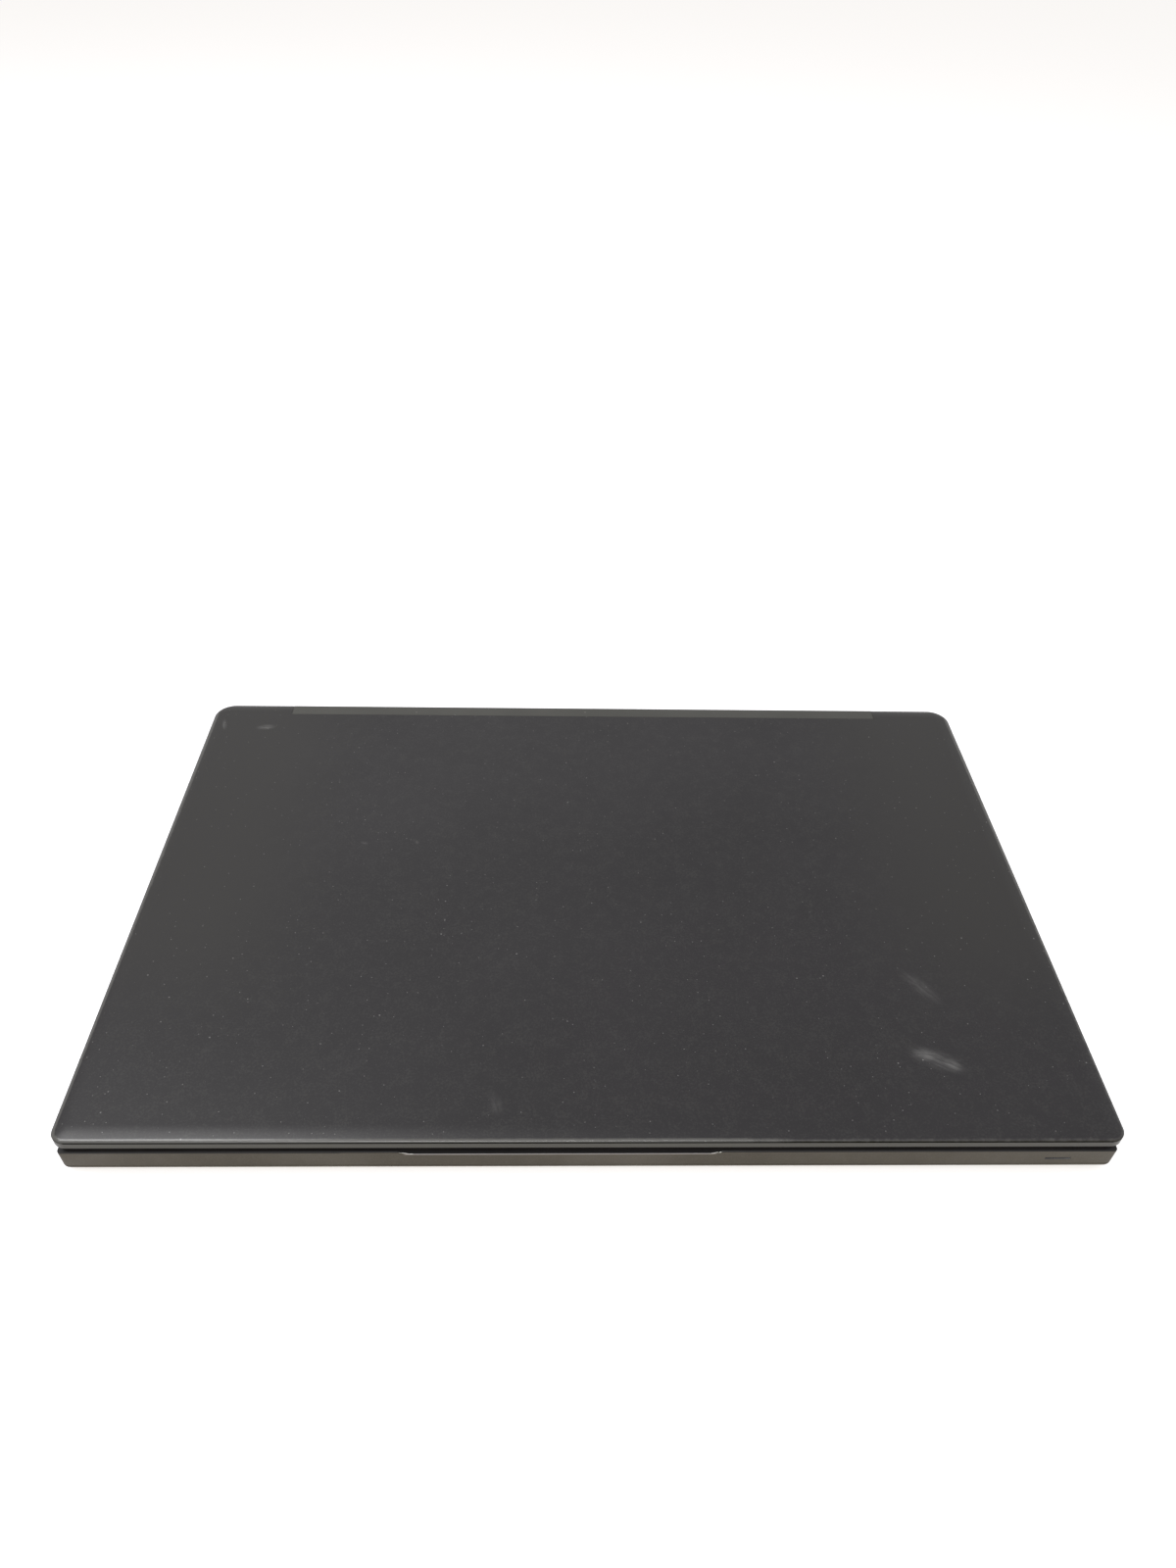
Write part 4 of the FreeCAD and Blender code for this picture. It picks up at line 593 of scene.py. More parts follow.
def islandBoxes(node):
    bm = mergedCopy(node)
    waiting = set(bm.verts)
    boxes = []
    while waiting:
        stack = [waiting.pop()]
        found = []
        while stack:
            vert = stack.pop()
            found.append(vert.co.copy())
            for edge in vert.link_edges:
                other = edge.other_vert(vert)
                if other in waiting:
                    waiting.discard(other)
                    stack.append(other)
        low = Vector([min(point[axis] for point in found) for axis in range(3)])
        high = Vector([max(point[axis] for point in found) for axis in range(3)])
        boxes.append((low, high))
    bm.free()
    digits = meshForm["digits"]
    return sorted(boxes, key=lambda pair: (-round(pair[0].y, digits), round(pair[0].x, digits)))


def addPiece(name, bm, materials, body, stands=(), weigh=False):
    bm.normal_update()
    limit = math.radians(meshForm["sharpTurn"])
    for face in bm.faces:
        face.smooth = True
    for edge in bm.edges:
        edge.smooth = edge.is_manifold and edge.calc_face_angle(0.0) < limit
    mesh = bpy.data.meshes.new(name)
    bm.to_mesh(mesh)
    bm.free()
    for material in materials:
        mesh.materials.append(material)
    piece = bpy.data.objects.new(name, mesh)
    scene.collection.objects.link(piece)
    if weigh:
        weighing = piece.modifiers.new("flatFaces", "WEIGHTED_NORMAL")
        weighing.keep_sharp = True
    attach(piece, body)
    if stands:
        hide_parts(*stands)


# lid shell: copy of the frame's lid, crowned towards its edges
lidForm = {"crownReach": 6.0, "crownDrop": 0.75, "shoulderReach": 1.3, "shoulderDrop": 0.10,
           "cuts": (0.6, 0.8, 1.0, 1.3, 1.9, 2.7, 3.6, 4.7, 6.0),
           "frontCorner": 4.6, "rearCorner": 8.0, "rubHighlightStart": 0.9, "rubHighlightEnd": 1.4, "softTop": 0.95,
           "rubHighlightPast": 30.0, "rubHighlightFade": 35.0, "rubLeft": 0.45}


def edgeDistance(point, low, high):
    middle = (low + high) / 2
    half = (high - low) / 2
    corner = lidForm["rearCorner" if point.y > middle.y else "frontCorner"] * mm
    dx = abs(point.x - middle.x) - (half.x - corner)
    dy = abs(point.y - middle.y) - (half.y - corner)
    outside = math.hypot(max(dx, 0.0), max(dy, 0.0)) + min(max(dx, dy), 0.0) - corner
    return max(0.0, -outside)


def cutAcross(bm, place, way):
    bmesh.ops.bisect_plane(bm, geom=bm.verts[:] + bm.edges[:] + bm.faces[:], plane_co=place, plane_no=way,
                           dist=meshForm["cutGap"])


def buildLid():
    bm = cadCopy("lid_back_cover")
    low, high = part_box("lid_back_cover")
    for cut in lidForm["cuts"]:
        inset = Vector((cut, cut, 0.0)) * mm
        for corner, sign in ((low, 1.0), (high, -1.0)):
            place = corner + inset * sign
            cutAcross(bm, place, (1.0, 0.0, 0.0))
            cutAcross(bm, place, (0.0, 1.0, 0.0))
    for place in (lidForm["rubHighlightPast"], lidForm["rubHighlightPast"] + lidForm["rubHighlightFade"]):
        cutAcross(bm, (place * mm, 0.0, 0.0), (1.0, 0.0, 0.0))
    soft = high.z - lidForm["softTop"] * mm
    cutAcross(bm, (0.0, 0.0, soft), (0.0, 0.0, 1.0))
    # the top edge round is marked for a paler, smoother edge: partly worn paint, partly a painted highlight
    # line that fades out towards the front right
    rubHighlightLayer = bm.verts.layers.float.new("edgeRubHighlight")
    reach = lidForm["crownReach"] * mm
    shoulder = lidForm["shoulderReach"] * mm
    fade = (lidForm["rubHighlightEnd"] - lidForm["rubHighlightStart"]) * mm
    for vert in bm.verts:
        inside = edgeDistance(vert.co, low, high)
        if vert.co.z > soft + sliver:
            past = unit((vert.co.x / mm - lidForm["rubHighlightPast"]) / lidForm["rubHighlightFade"])
            kept = 1.0 - past * (1.0 - lidForm["rubLeft"]) if vert.co.y < 0.0 else 1.0
            vert[rubHighlightLayer] = kept * unit((lidForm["rubHighlightEnd"] * mm - inside) / fade)
            vert.co.z -= lidForm["crownDrop"] * mm * max(0.0, 1.0 - inside / reach) ** 2
            vert.co.z -= lidForm["shoulderDrop"] * mm * max(0.0, 1.0 - inside / shoulder) ** 2
    addPiece("lidShell", bm, [lidPaint], "lid", ["lid_back_cover"], weigh=True)


buildLid()
print("stage: lid shell")


# lid pieces round the hinge and the screen
def refine(name, node, material, body, width, segments=2):
    bm = cadCopy(node)
    roundEdges(bm, width, segments)
    addPiece(name, bm, [material], body, [node], weigh=True)


stripForm = {"edge": 0.15, "end": 1.0, "reach": 0.5}


def buildStrip():
    bm = cadCopy("hinge_cover")
    low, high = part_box("hinge_cover")
    for vert in bm.verts:
        if vert.co.x > high.x - stripForm["end"] * mm:
            vert.co.x += stripForm["reach"] * mm
        elif vert.co.x < low.x + stripForm["end"] * mm:
            vert.co.x -= stripForm["reach"] * mm
    roundEdges(bm, stripForm["edge"])
    addPiece("hingeStrip", bm, [stripPaint], "lid", ["hinge_cover"], weigh=True)


buildStrip()
refine("screenBezel", "display_bezel", bezelPlastic, "lid", width=0.15)
refine("bezelBumpers", "lid_bumpers", rubber, "lid", width=0.25, segments=3)
for kind, body in (("leaf", "lid"), ("bracket", "base")):
    for side in ("left", "right"):
        refine(side + kind.capitalize(), f"{side}_hinge_{kind}", darkSteel, body, width=0.12)

panelForm = {"corner": 1.0, "edge": 0.25, "border": 1.0, "slope": 0.15, "sink": -0.06}


def buildPanel():
    low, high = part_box("display_panel")
    bm = roundedSlab(low, high, panelForm["corner"], segments=4)
    roundEdges(bm, panelForm["edge"])
    rim = sinkFace(bm, topFace(bm, downward=True), panelForm["border"], 0.0)
    glass = sinkFace(bm, rim, panelForm["slope"], panelForm["sink"])
    glass.material_index = 1
    addPiece("screenPanel", bm, [bezelPlastic, screenGlass], "lid", ["display_panel"], weigh=True)


buildPanel()

lensForm = {"rim": 0.55, "slope": 0.12, "sink": -0.18, "ring": 0.35, "rings": 3, "dome": 0.12,
            "segments": 40}


def buildLens():
    low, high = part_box("camera_lens")
    bm = bmesh.new()
    bmesh.ops.create_circle(bm, cap_ends=True, segments=lensForm["segments"], radius=(high.x - low.x) / 2)
    middle = (low + high) / 2
    for vert in bm.verts:
        vert.co = Vector((middle.x + vert.co.x, middle.y + vert.co.y, high.z))
    sole = list(bm.faces)[0]
    made = bmesh.ops.extrude_face_region(bm, geom=[sole])
    moved = [item for item in made["geom"] if isinstance(item, bmesh.types.BMVert)]
    for vert in moved:
        vert.co.z = low.z
    bmesh.ops.recalc_face_normals(bm, faces=bm.faces)
    face = sinkFace(bm, topFace(bm, downward=True), lensForm["rim"], 0.0)
    face = sinkFace(bm, face, lensForm["slope"], lensForm["sink"])
    for step in range(lensForm["rings"]):
        face = sinkFace(bm, face, lensForm["ring"], lensForm["dome"] / (step + 1))
    addPiece("cameraLens", bm, [smokedWindow], "lid", ["camera_lens"])


buildLens()
print("stage: hinge and screen")

# base shells
upperForm = {"edge": 0.10, "deckBand": 0.45, "seam": 3.7, "seamEdge": 0.25, "scoopFloor": 9.8,
             "scoopDeep": 2.4, "scoopEdge": 0.25, "rubHighlightDeep": 0.7, "rubHighlightLow": 9.5, "rubHighlightHigh": 10.7,
             "rubHighlightMiddle": -10.4, "rubHighlightReach": 50.0, "rubHighlightFade": 18.0, "rubHighlightLip": 48.5, "rubHighlightOuter": 0.45,
             "rampSlack": 0.01, "rampRise": 0.2, "rampRun": 0.5, "lipSlack": 0.02, "upFacing": 0.3}
lowerForm = {"edge": 0.12, "seam": 3.7, "seamEdge": 0.2}
cornerForm = {"drawn": 3.2, "shown": 1.4, "skin": 0.9, "bottom": 1.2, "full": 4.6}
glintForm = {"left": (-60.5, -56.2), "right": (37.4, 40.6), "deep": 0.3, "up": (0.72, 0.97), "front": -0.1}
rimForm = {"upright": 0.1, "outward": 0.05}


def tightenCorners(bm):
    low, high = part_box("palmrest")
    drawn = cornerForm["drawn"] * mm
    bottom = cornerForm["bottom"] * mm
    rise = (cornerForm["full"] - cornerForm["bottom"]) * mm
    for vert in bm.verts:
        lift = unit((vert.co.z - bottom) / rise)
        shown = drawn + (cornerForm["shown"] * mm - drawn) * math.sqrt(lift)
        for side, wall in ((-1.0, low.x), (1.0, high.x)):
            across = side * vert.co.x - (abs(wall) - drawn)
            along = (low.y + drawn) - vert.co.y
            depth = drawn - math.hypot(across, along)
            if across > 0.0 and along > 0.0 and depth < cornerForm["skin"] * mm:
                angle = math.atan2(along, across)
                vert.co.x = wall - side * (shown - (shown - depth) * math.cos(angle))
                vert.co.y = low.y + shown - (shown - depth) * math.sin(angle)


def rimEdges(bm, level):
    bm.normal_update()
    found = []
    for edge in bm.edges:
        if max(abs(vert.co.z - level * mm) for vert in edge.verts) > touch or not edge.is_convex:
            continue
        middle = (edge.verts[0].co + edge.verts[1].co) / 2
        if any(abs(face.normal.z) < rimForm["upright"] and face.normal.dot(middle) > rimForm["outward"]
               for face in edge.link_faces):
            found.append(edge)
    return found


def buildUpperCase():
    bm = cadCopy("palmrest")
    low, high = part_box("palmrest")
    tightenCorners(bm)
    bevelEdges(bm, rimEdges(bm, upperForm["seam"]), upperForm["seamEdge"], segments=2)
    front = [edge for edge in bm.edges if max(vert.co.y for vert in edge.verts) < low.y + touch]
    lip = [edge for edge in front
           if edgeSpan(edge, 2) < sliver and abs(edge.verts[0].co.z - upperForm["scoopFloor"] * mm) < touch]
    foot = (upperForm["scoopFloor"] - upperForm["rampSlack"]) * mm
    ramps = [edge for edge in front
             if min(vert.co.z for vert in edge.verts) > foot
             and edgeSpan(edge, 2) > upperForm["rampRise"] * mm
             and edgeSpan(edge, 0) > upperForm["rampRun"] * mm]
    bevelEdges(bm, lip + ramps, upperForm["scoopEdge"], segments=3)
    roundEdges(bm, upperForm["edge"])
    cutAcross(bm, (0.0, low.y + upperForm["rubHighlightDeep"] * mm, 0.0), (0.0, 1.0, 0.0))
    for level in (upperForm["rubHighlightLow"], upperForm["rubHighlightHigh"]):
        cutAcross(bm, (0.0, 0.0, level * mm), (0.0, 0.0, 1.0))
    cutAcross(bm, (glintForm["left"][1] * mm, 0.0, 0.0), (1.0, 0.0, 0.0))
    for side in (-1.0, 1.0):
        for far in (upperForm["rubHighlightReach"], upperForm["rubHighlightReach"] + upperForm["rubHighlightFade"]):
            cutAcross(bm, ((upperForm["rubHighlightMiddle"] + side * far) * mm, 0.0, 0.0), (1.0, 0.0, 0.0))
    # painted highlight: the scoop's lip between its ramps, and more faintly the deck's front edge beyond,
    # are marked for a paler, smoother edge that stands in for the highlight along it, partly as rubbed paint
    rubHighlightLayer = bm.verts.layers.float.new("edgeRubHighlight")
    for vert in bm.verts:
        if vert.co.y > low.y + upperForm["rubHighlightDeep"] * mm - sliver:
            continue
        away = abs(vert.co.x / mm - upperForm["rubHighlightMiddle"])
        if away < upperForm["rubHighlightLip"] and vert.co.z > upperForm["rubHighlightLow"] * mm + sliver:
            vert[rubHighlightLayer] = 1.0
        elif vert.co.z > upperForm["rubHighlightHigh"] * mm + sliver:
            faded = 1.0 - (away - upperForm["rubHighlightReach"]) / upperForm["rubHighlightFade"]
            vert[rubHighlightLayer] = upperForm["rubHighlightOuter"] * unit(faded)
    bm.normal_update()
    deck = high.z - upperForm["deckBand"] * mm
    floor = (upperForm["scoopFloor"] - upperForm["edge"]) * mm
    deep = low.y + (upperForm["scoopDeep"] + upperForm["edge"]) * mm
    lipBack = low.y + (upperForm["scoopEdge"] - upperForm["lipSlack"]) * mm
    glintLow = floor - upperForm["scoopEdge"] * mm
    glintBack = low.y + glintForm["deep"] * mm
    flattest, steepest = glintForm["up"]
    for face in bm.faces:
        middle = face.calc_center_median()
        inScoop = floor < middle.z and lipBack < middle.y < deep
        # up-facing deck faces and the scoop's inside take the darker deck paint, painted shade where the lid
        # overhangs them
        if face.normal.z > upperForm["upFacing"] and (middle.z > deck or inScoop):
            face.material_index = 1
        # the ramp ends' front faces get the bright metal, painted glints there as well as worn-through paint
        inGlint = any(start * mm < middle.x < end * mm
                      for start, end in (glintForm["left"], glintForm["right"]))
        if inGlint and flattest < face.normal.z < steepest and face.normal.y < glintForm["front"]:
            if middle.z > glintLow and middle.y < glintBack:
                face.material_index = 2
    addPiece("upperCase", bm, [casePaint, deckShadePaint, rubbedGlintMetal], "base", ["palmrest"],
             weigh=True)


def buildLowerCase():
    bm = cadCopy("bottom_cover")
    tightenCorners(bm)
    bevelEdges(bm, rimEdges(bm, lowerForm["seam"]), lowerForm["seamEdge"], segments=2)
    roundEdges(bm, lowerForm["edge"])
    addPiece("lowerCase", bm, [casePaint], "base", ["bottom_cover"], weigh=True)


buildUpperCase()
buildLowerCase()
refine("deskFeet", "rubber_feet", rubber, "base", width=0.35, segments=3)
refine("keyFrame", "keyboard_lattice", blackPlastic, "base", width=0.08)
refine("powerSocket", "power_inlet", blackPlastic, "base", width=0.10)
refine("headsetSocket", "headset_jack", blackPlastic, "base", width=0.10)
refine("lockPlate", "lock_plate", steel, "base", width=0.08)

socketForm = {"edge": 0.06, "shell": 0.5}


def buildSocket(name, node):
    bm = cadCopy(node)
    roundEdges(bm, socketForm["edge"])
    wall = socketForm["shell"] * mm
    boxes = islandBoxes(node)
    for face in bm.faces:
        middle = face.calc_center_median()
        for low, high in boxes:
            if all(low[axis] + wall < middle[axis] < high[axis] - wall for axis in (1, 2)):
                face.material_index = 1
    addPiece(name, bm, [socketSteel, blackPlastic], "base", [node], weigh=True)


buildSocket("wideSockets", "usb_a_ports")
buildSocket("slimSocket", "usb_c_port")
buildSocket("videoSocket", "video_port")

screwForm = {"socket": 0.7, "lobe": 0.68, "depth": 0.32, "level": 0.05}


def buildScrews():
    bm = cadCopy("cover_screws")
    bottom = min(vert.co.z for vert in bm.verts)
    bm.normal_update()
    heads = [face for face in bm.faces
             if face.normal.z < -meshForm["facing"]
             and abs(face.calc_center_median().z - bottom) < screwForm["level"] * mm]
    for face in heads:
        bmesh.ops.inset_individual(bm, faces=[face], thickness=screwForm["socket"] * mm)
        centre = face.calc_center_median()
        for index, vert in enumerate(face.verts):
            scale = screwForm["lobe"] if index % 2 else 1.0
            vert.co = centre + (vert.co - centre) * scale
        made = bmesh.ops.extrude_discrete_faces(bm, faces=[face])
        for vert in made["faces"][0].verts:
            vert.co.z += screwForm["depth"] * mm
    addPiece("coverScrews", bm, [steel], "base", ["cover_screws"])


buildScrews()

lightForm = {"corner": 0.25, "edge": 0.12}


def buildStatusLight():
    low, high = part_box("status_light")
    turned = Matrix.Rotation(math.radians(90.0), 4, "X")
    flatLow = Vector((low.x, low.z, -high.y))
    flatHigh = Vector((high.x, high.z, -low.y))
    bm = roundedSlab(flatLow, flatHigh, lightForm["corner"], segments=4)
    roundEdges(bm, lightForm["edge"])
    bmesh.ops.transform(bm, matrix=turned, verts=bm.verts)
    addPiece("statusWindow", bm, [smokedWindow], "base", ["status_light"])


buildStatusLight()
print("stage: base shells")


# touchpad, its buttons and the power button
padForm = {"corner": 1.6, "edge": 0.2, "rings": ((0.5, 0.0), (0.6, 0.06))}
clickForm = {"corner": 1.2, "edge": 0.35, "rings": ((0.6, 0.0), (1.6, 0.10), (2.4, 0.08))}
powerForm = {"corner": 2.2, "edge": 0.3, "rings": ((0.6, 0.10),), "sink": 0.10, "ring": 1.05,
             "stroke": 0.22, "thick": 0.03, "openFrom": 35.0, "sweep": 290.0, "steps": 26,
             "barHalf": 0.55, "barLift": 0.75, "barRound": 0.06}


def buildPad(name, node, form, material, body):
    low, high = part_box(node)
    bm = roundedSlab(low, high, form["corner"], segments=5)
    dishTop(bm, form)
    addPiece(name, bm, [material], body, [node], weigh=True)


buildPad("touchSurface", "touchpad", padForm, padSurface, "base")
for side in ("left", "right"):
    node = f"touchpad_{side}_button"
    buildPad(f"{side}Click", node, clickForm, blackPlastic, node)
buildPad("powerKey", "power_button", powerForm, blackPlastic, "power_button")


def buildPowerSign():
    low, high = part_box("power_button")
    centre = Vector(((low.x + high.x) / 2, (low.y + high.y) / 2, high.z - powerForm["sink"] * mm))
    stroke = powerForm["stroke"] * mm
    thick = powerForm["thick"] * mm
    radius = powerForm["ring"] * mm
    bm = bmesh.new()
    corners = ((-stroke / 2, 0.0), (stroke / 2, 0.0), (stroke / 2, thick), (-stroke / 2, thick))
    verts = [bm.verts.new(centre + Vector((0.0, radius + across, up))) for across, up in corners]
    section = bm.faces.new(verts)
    start = Matrix.Rotation(math.radians(powerForm["openFrom"]), 3, "Z")
    bmesh.ops.rotate(bm, verts=verts, cent=centre, matrix=start)
    bmesh.ops.spin(bm, geom=[section], cent=centre, axis=(0, 0, 1), angle=math.radians(powerForm["sweep"]),
                   steps=powerForm["steps"])
    bmesh.ops.recalc_face_normals(bm, faces=bm.faces)
    half = Vector((stroke / 2, radius * powerForm["barHalf"], 0.0))
    lift = Vector((0.0, radius * powerForm["barLift"], 0.0))
    bar = roundedSlab(centre + lift - half, centre + lift + half + Vector((0.0, 0.0, thick)),
                      powerForm["barRound"], segments=2)
    joinInto(bm, bar)
    addPiece("powerSign", bm, [legendInk], "power_button")


buildPowerSign()
print("stage: touchpad and buttons")


# keys: hollow tapered caps on the frame's key places
capForm = {"draft": 0.55, "corner": 1.3, "edge": 0.35, "rings": ((0.7, 0.05), (1.5, 0.09)), "sink": 0.14,
           "crown": 0.9, "skirt": 0.8}
barForm = {"draft": 0.55, "corner": 1.3, "edge": 0.8, "rings": ((0.4, 0.0),), "crown": 0.9, "skirt": 0.8}
nubForm = {"length": 3.0, "depth": 0.6, "height": 0.16, "setback": 3.4, "corner": 0.25, "edge": 0.1}
legendForm = {"letter": 3.4, "small": 1.9, "inset": 3.1, "thick": 0.012, "lift": 0.006, "curve": 3}
legends = {
    "function_keys": ["Esc"] + [f"F{index}" for index in range(1, 13)] + ["Home", "End", "Del"],
    "number_keys": list("`1234567890-="),
    "backspace_key": ["Back"],
    "tab_key": ["Tab"],
    "top_letter_keys": list("QWERTYUIOP[]\\"),
    "caps_lock_key": ["Caps"],
    "home_letter_keys": list("ASDFGHJKL;'"),
    "enter_key": ["Enter"],
    "left_shift_key": ["Shift"],
    "bottom_letter_keys": list("ZXCVBNM,./"),
    "right_shift_key": ["Shift"],
    "modifier_keys": ["Ctrl", "Fn", "", "Alt", "Alt", "Ctrl"],
    "space_bar": [""],
    "arrow_keys": ["PgU", "^", "PgD", "<", "v", ">"],
}


def keyCap(low, high, form):
    span = high - low
    bm = roundedSlab(low, high, form["corner"], segments=4)
    middle = (low + high) / 2
    squeeze = form["draft"] * 2 * mm
    for vert in bm.verts:
        if vert.co.z > middle.z:
            vert.co.x = middle.x + (vert.co.x - middle.x) * (1.0 - squeeze / span.x)
            vert.co.y = middle.y + (vert.co.y - middle.y) * (1.0 - squeeze / span.y)
    foot = topFace(bm, downward=True)
    bmesh.ops.inset_individual(bm, faces=[foot], thickness=form["skirt"] * mm, use_even_offset=True)
    made = bmesh.ops.extrude_discrete_faces(bm, faces=[foot])
    for vert in made["faces"][0].verts:
        vert.co.z = high.z - form["crown"] * mm
    dishTop(bm, form)
    return bm


def legendMesh(words, size):
    curve = bpy.data.curves.new("words", "FONT")
    curve.body = words
    curve.size = size * mm
    curve.extrude = legendForm["thick"] * mm / 2
    curve.resolution_u = legendForm["curve"]
    holder = bpy.data.objects.new("words", curve)
    scene.collection.objects.link(holder)
    bpy.context.view_layer.update()
    mesh = bpy.data.meshes.new_from_object(holder.evaluated_get(bpy.context.evaluated_depsgraph_get()))
    bpy.data.objects.remove(holder)
    bpy.data.curves.remove(curve)
    bm = bmesh.new()
    bm.from_mesh(mesh)
    bpy.data.meshes.remove(mesh)
    return bm


def buildLegend(words, low, high):
    size = legendForm["letter"] if len(words) == 1 else legendForm["small"]
    bm = legendMesh(words, size)
    left = min(vert.co.x for vert in bm.verts)
    top = max(vert.co.y for vert in bm.verts)
    tall = top - min(vert.co.y for vert in bm.verts)
    room = high.y - low.y
    inset = min(legendForm["inset"] * mm, (room - tall) / 2)
    level = high.z - (capForm["sink"] - legendForm["lift"]) * mm
    for vert in bm.verts:
        vert.co.x += low.x + legendForm["inset"] * mm - left
        vert.co.y += high.y - inset - top
        vert.co.z += level
    return bm


def fingerNub(low, high):
    along = Vector((nubForm["length"] / 2 * mm, nubForm["depth"] / 2 * mm, 0.0))
    level = high.z - capForm["sink"] * mm
    centre = Vector(((low.x + high.x) / 2, low.y + nubForm["setback"] * mm, level))
    rise = Vector((0.0, 0.0, nubForm["height"] * mm))
    nub = roundedSlab(centre - along, centre + along + rise, nubForm["corner"], segments=3)
    bevelEdges(nub, list(topFace(nub).edges), nubForm["edge"], segments=2)
    return nub


def buildKeys(node, words):
    boxes = islandBoxes(node)
    caps = bmesh.new()
    marks = bmesh.new()
    for (low, high), word in zip(boxes, words):
        joinInto(caps, keyCap(low, high, barForm if node == "space_bar" else capForm))
        if word in ("F", "J"):
            joinInto(caps, fingerNub(low, high))
        if word:
            joinInto(marks, buildLegend(word, low, high))
    stem = "".join(part.capitalize() for part in node.split("_"))
    addPiece(f"caps{stem}", caps, [keyPlastic], node, [node], weigh=True)
    if marks.faces:
        addPiece(f"marks{stem}", marks, [legendInk], node)
    else:
        marks.free()


for node, words in legends.items():
    buildKeys(node, words)
print("stage: keys")

# finishes of the frame nodes that are shown as they are
finishes = {
    steel: ["leaf_screws", "bracket_screws", "keyboard_backplate"],
    darkSteel: ["touchpad_bracket"],
    rubber: ["key_domes"],
    blackPlastic: ["speakers", "fan_housing", "fan_rotor"],
    circuitBoard: ["mainboard", "memory_module", "solid_state_drive", "wireless_card", "camera_board"],
    chipCase: ["processor"],
    copper: ["heat_pipe", "aerial_strips"],
    finMetal: ["fin_stack"],
    batteryWrap: ["battery_pack"],
    membraneFilm: ["key_membrane"],
}
for material, names in finishes.items():
    for name in names:
        mesh = nodes[name].data
        if not mesh.materials:
            mesh.materials.append(material)
        for place in nodes[name].material_slots:
            place.material = material
print("stage: frame finishes")

# stage: floor, light, camera
floorForm = {"half": 6.0, "glow": (0.38, 0.35, 0.26), "matte": (0.74, 0.75, 0.84),
             "bounce": (0.90, 0.71, 0.47)}
lampForms = [
    {"name": "leftSoft", "place": (-0.72, 0.12, 1.5), "aim": (0.0, 0.0, 0.0), "wide": 0.55, "deep": 0.55,
     "power": 10.2},
    {"name": "edgeStrip", "place": (-0.12, -0.85, 1.3), "aim": (-0.05, -0.10, 0.0), "wide": 0.8, "deep": 0.1,
     "power": 10.0},
    {"name": "rearSoft", "place": (-0.35, 1.45, 1.40), "aim": (0.0, 0.0, 0.0), "wide": 0.8, "deep": 0.5,
     "power": 0.6},
    {"name": "frontFill", "place": (-0.30, -1.25, 0.95), "aim": (0.0, -0.05, 0.0), "wide": 0.6, "deep": 0.5,
     "power": 3.0},
]
skyForm = {"light": 0.755, "seen": 1.0}
viewForm = {"place": (-12.198, -295.62, 321.33), "turn": 2.082, "tilt": 40.634, "roll": 1.756,
            "focal": 1129.41, "tall": 1600.0, "sensor": 36.0, "clip": 0.01}


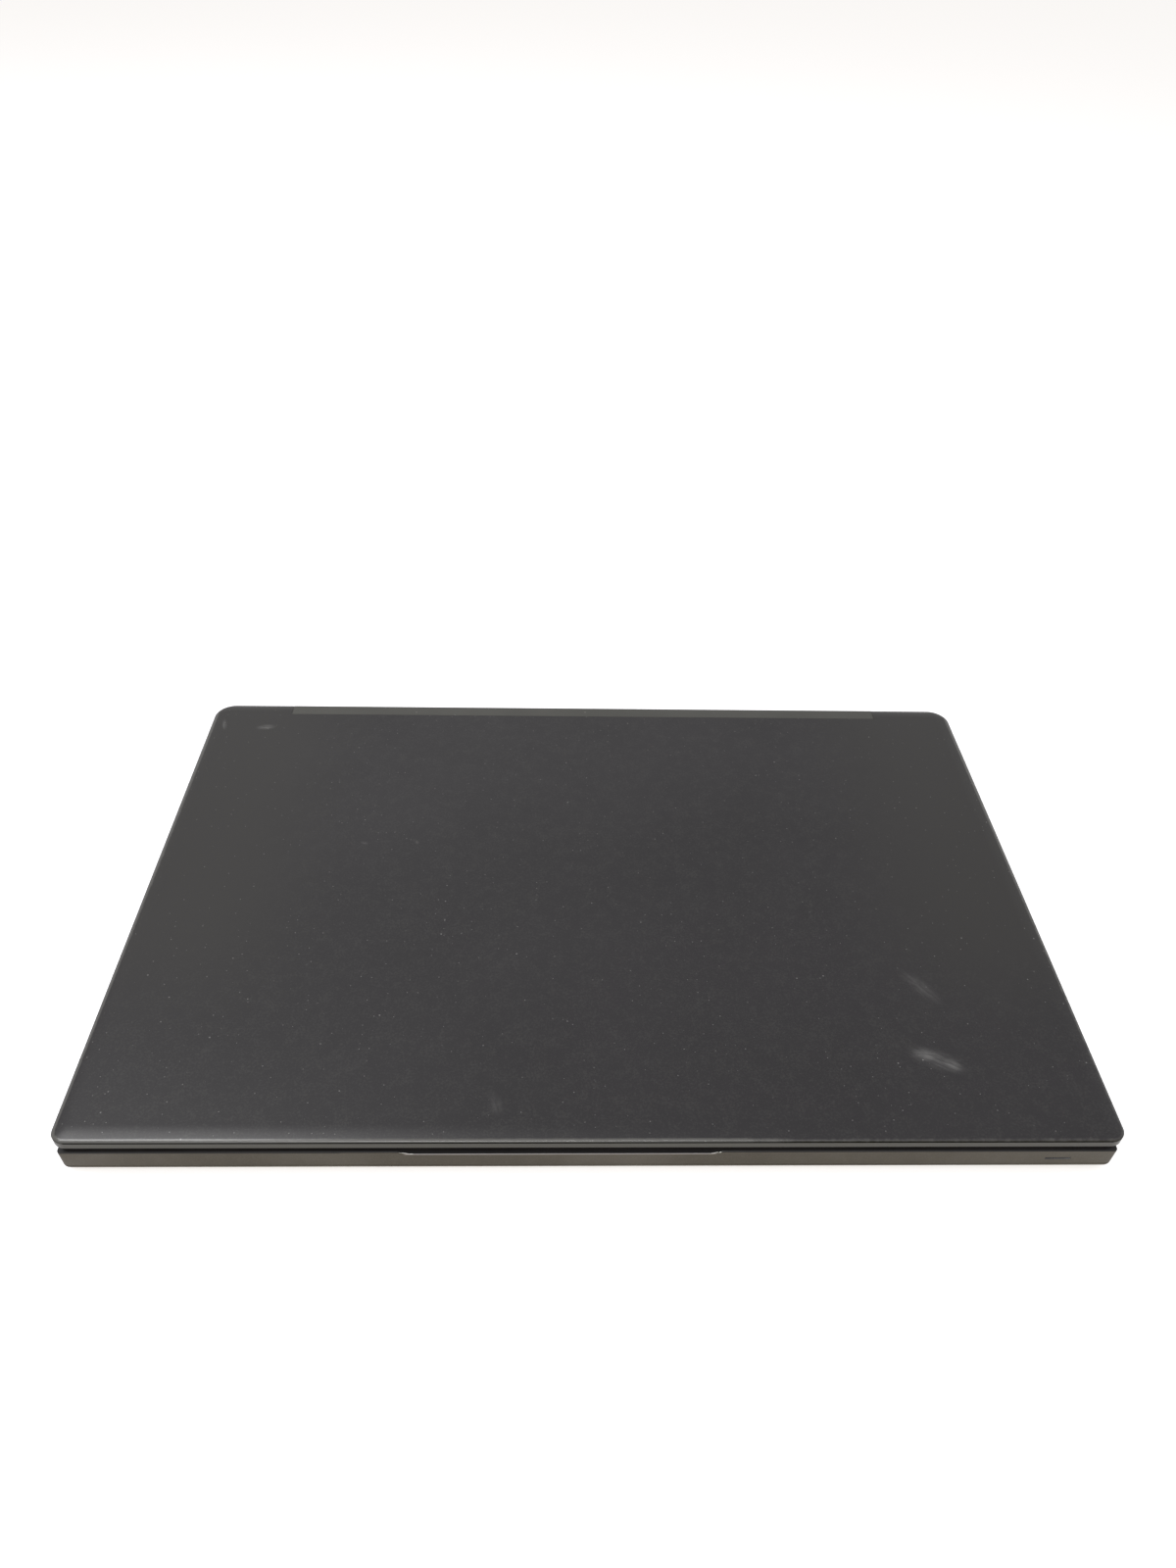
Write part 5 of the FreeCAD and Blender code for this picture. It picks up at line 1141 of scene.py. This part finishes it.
def buildFloor():
    bm = bmesh.new()
    bmesh.ops.create_grid(bm, x_segments=2, y_segments=2, size=floorForm["half"])
    mesh = bpy.data.meshes.new("floor")
    bm.to_mesh(mesh)
    bm.free()
    floor = bpy.data.objects.new("floor", mesh)
    scene.collection.objects.link(floor)
    material = bpy.data.materials.new("floorCard")
    material.use_nodes = True
    tree = material.node_tree
    tree.nodes.clear()
    card = addNode(tree, "ShaderNodeBsdfDiffuse", opaque(*floorForm["matte"]))
    glow = addNode(tree, "ShaderNodeEmission", opaque(*floorForm["glow"]))
    both = addNode(tree, "ShaderNodeAddShader", card.outputs[0], glow.outputs[0])
    plain = addNode(tree, "ShaderNodeBsdfDiffuse", opaque(*floorForm["bounce"]))
    rays = tree.nodes.new("ShaderNodeLightPath")
    seen = calc(tree, "ADD", rays.outputs["Is Camera Ray"], rays.outputs["Is Glossy Ray"])
    seen = calc(tree, "ADD", seen, rays.outputs["Is Transmission Ray"], clamp=True)
    pick = addNode(tree, "ShaderNodeMixShader", seen, plain.outputs[0], both.outputs[0])
    addNode(tree, "ShaderNodeOutputMaterial", pick.outputs[0])
    mesh.materials.append(material)


def buildSky():
    world = bpy.data.worlds.new("studio")
    scene.world = world
    world.use_nodes = True
    tree = world.node_tree
    tree.nodes.clear()
    white = opaque(1.0, 1.0, 1.0)
    soft = addNode(tree, "ShaderNodeBackground", white, skyForm["light"])
    bright = addNode(tree, "ShaderNodeBackground", white, skyForm["seen"])
    direct = tree.nodes.new("ShaderNodeLightPath").outputs["Is Camera Ray"]
    pick = addNode(tree, "ShaderNodeMixShader", direct, soft.outputs[0], bright.outputs[0])
    addNode(tree, "ShaderNodeOutputWorld", pick.outputs[0])


def buildLamps():
    for form in lampForms:
        lamp = bpy.data.lights.new(form["name"], "AREA")
        lamp.shape = "RECTANGLE"
        lamp.size = form["wide"]
        lamp.size_y = form["deep"]
        lamp.energy = form["power"]
        holder = bpy.data.objects.new(form["name"], lamp)
        holder.location = form["place"]
        way = Vector(form["aim"]) - Vector(form["place"])
        holder.rotation_euler = way.to_track_quat("-Z", "Y").to_euler()
        scene.collection.objects.link(holder)


def buildCamera():
    camera = bpy.data.cameras.new("photoView")
    camera.sensor_fit = "VERTICAL"
    camera.sensor_height = viewForm["sensor"]
    camera.lens = viewForm["focal"] / viewForm["tall"] * viewForm["sensor"]
    camera.clip_start = viewForm["clip"]
    holder = bpy.data.objects.new("photoView", camera)
    turn = Matrix.Rotation(math.radians(-viewForm["turn"]), 4, "Z")
    tilt = Matrix.Rotation(math.radians(90.0 - viewForm["tilt"]), 4, "X")
    roll = Matrix.Rotation(math.radians(viewForm["roll"]), 4, "Z")
    holder.matrix_world = Matrix.Translation(Vector(viewForm["place"]) * mm) @ turn @ tilt @ roll
    scene.collection.objects.link(holder)
    scene.camera = holder


buildFloor()
buildSky()
buildLamps()
buildCamera()
print("stage: floor, light and camera")
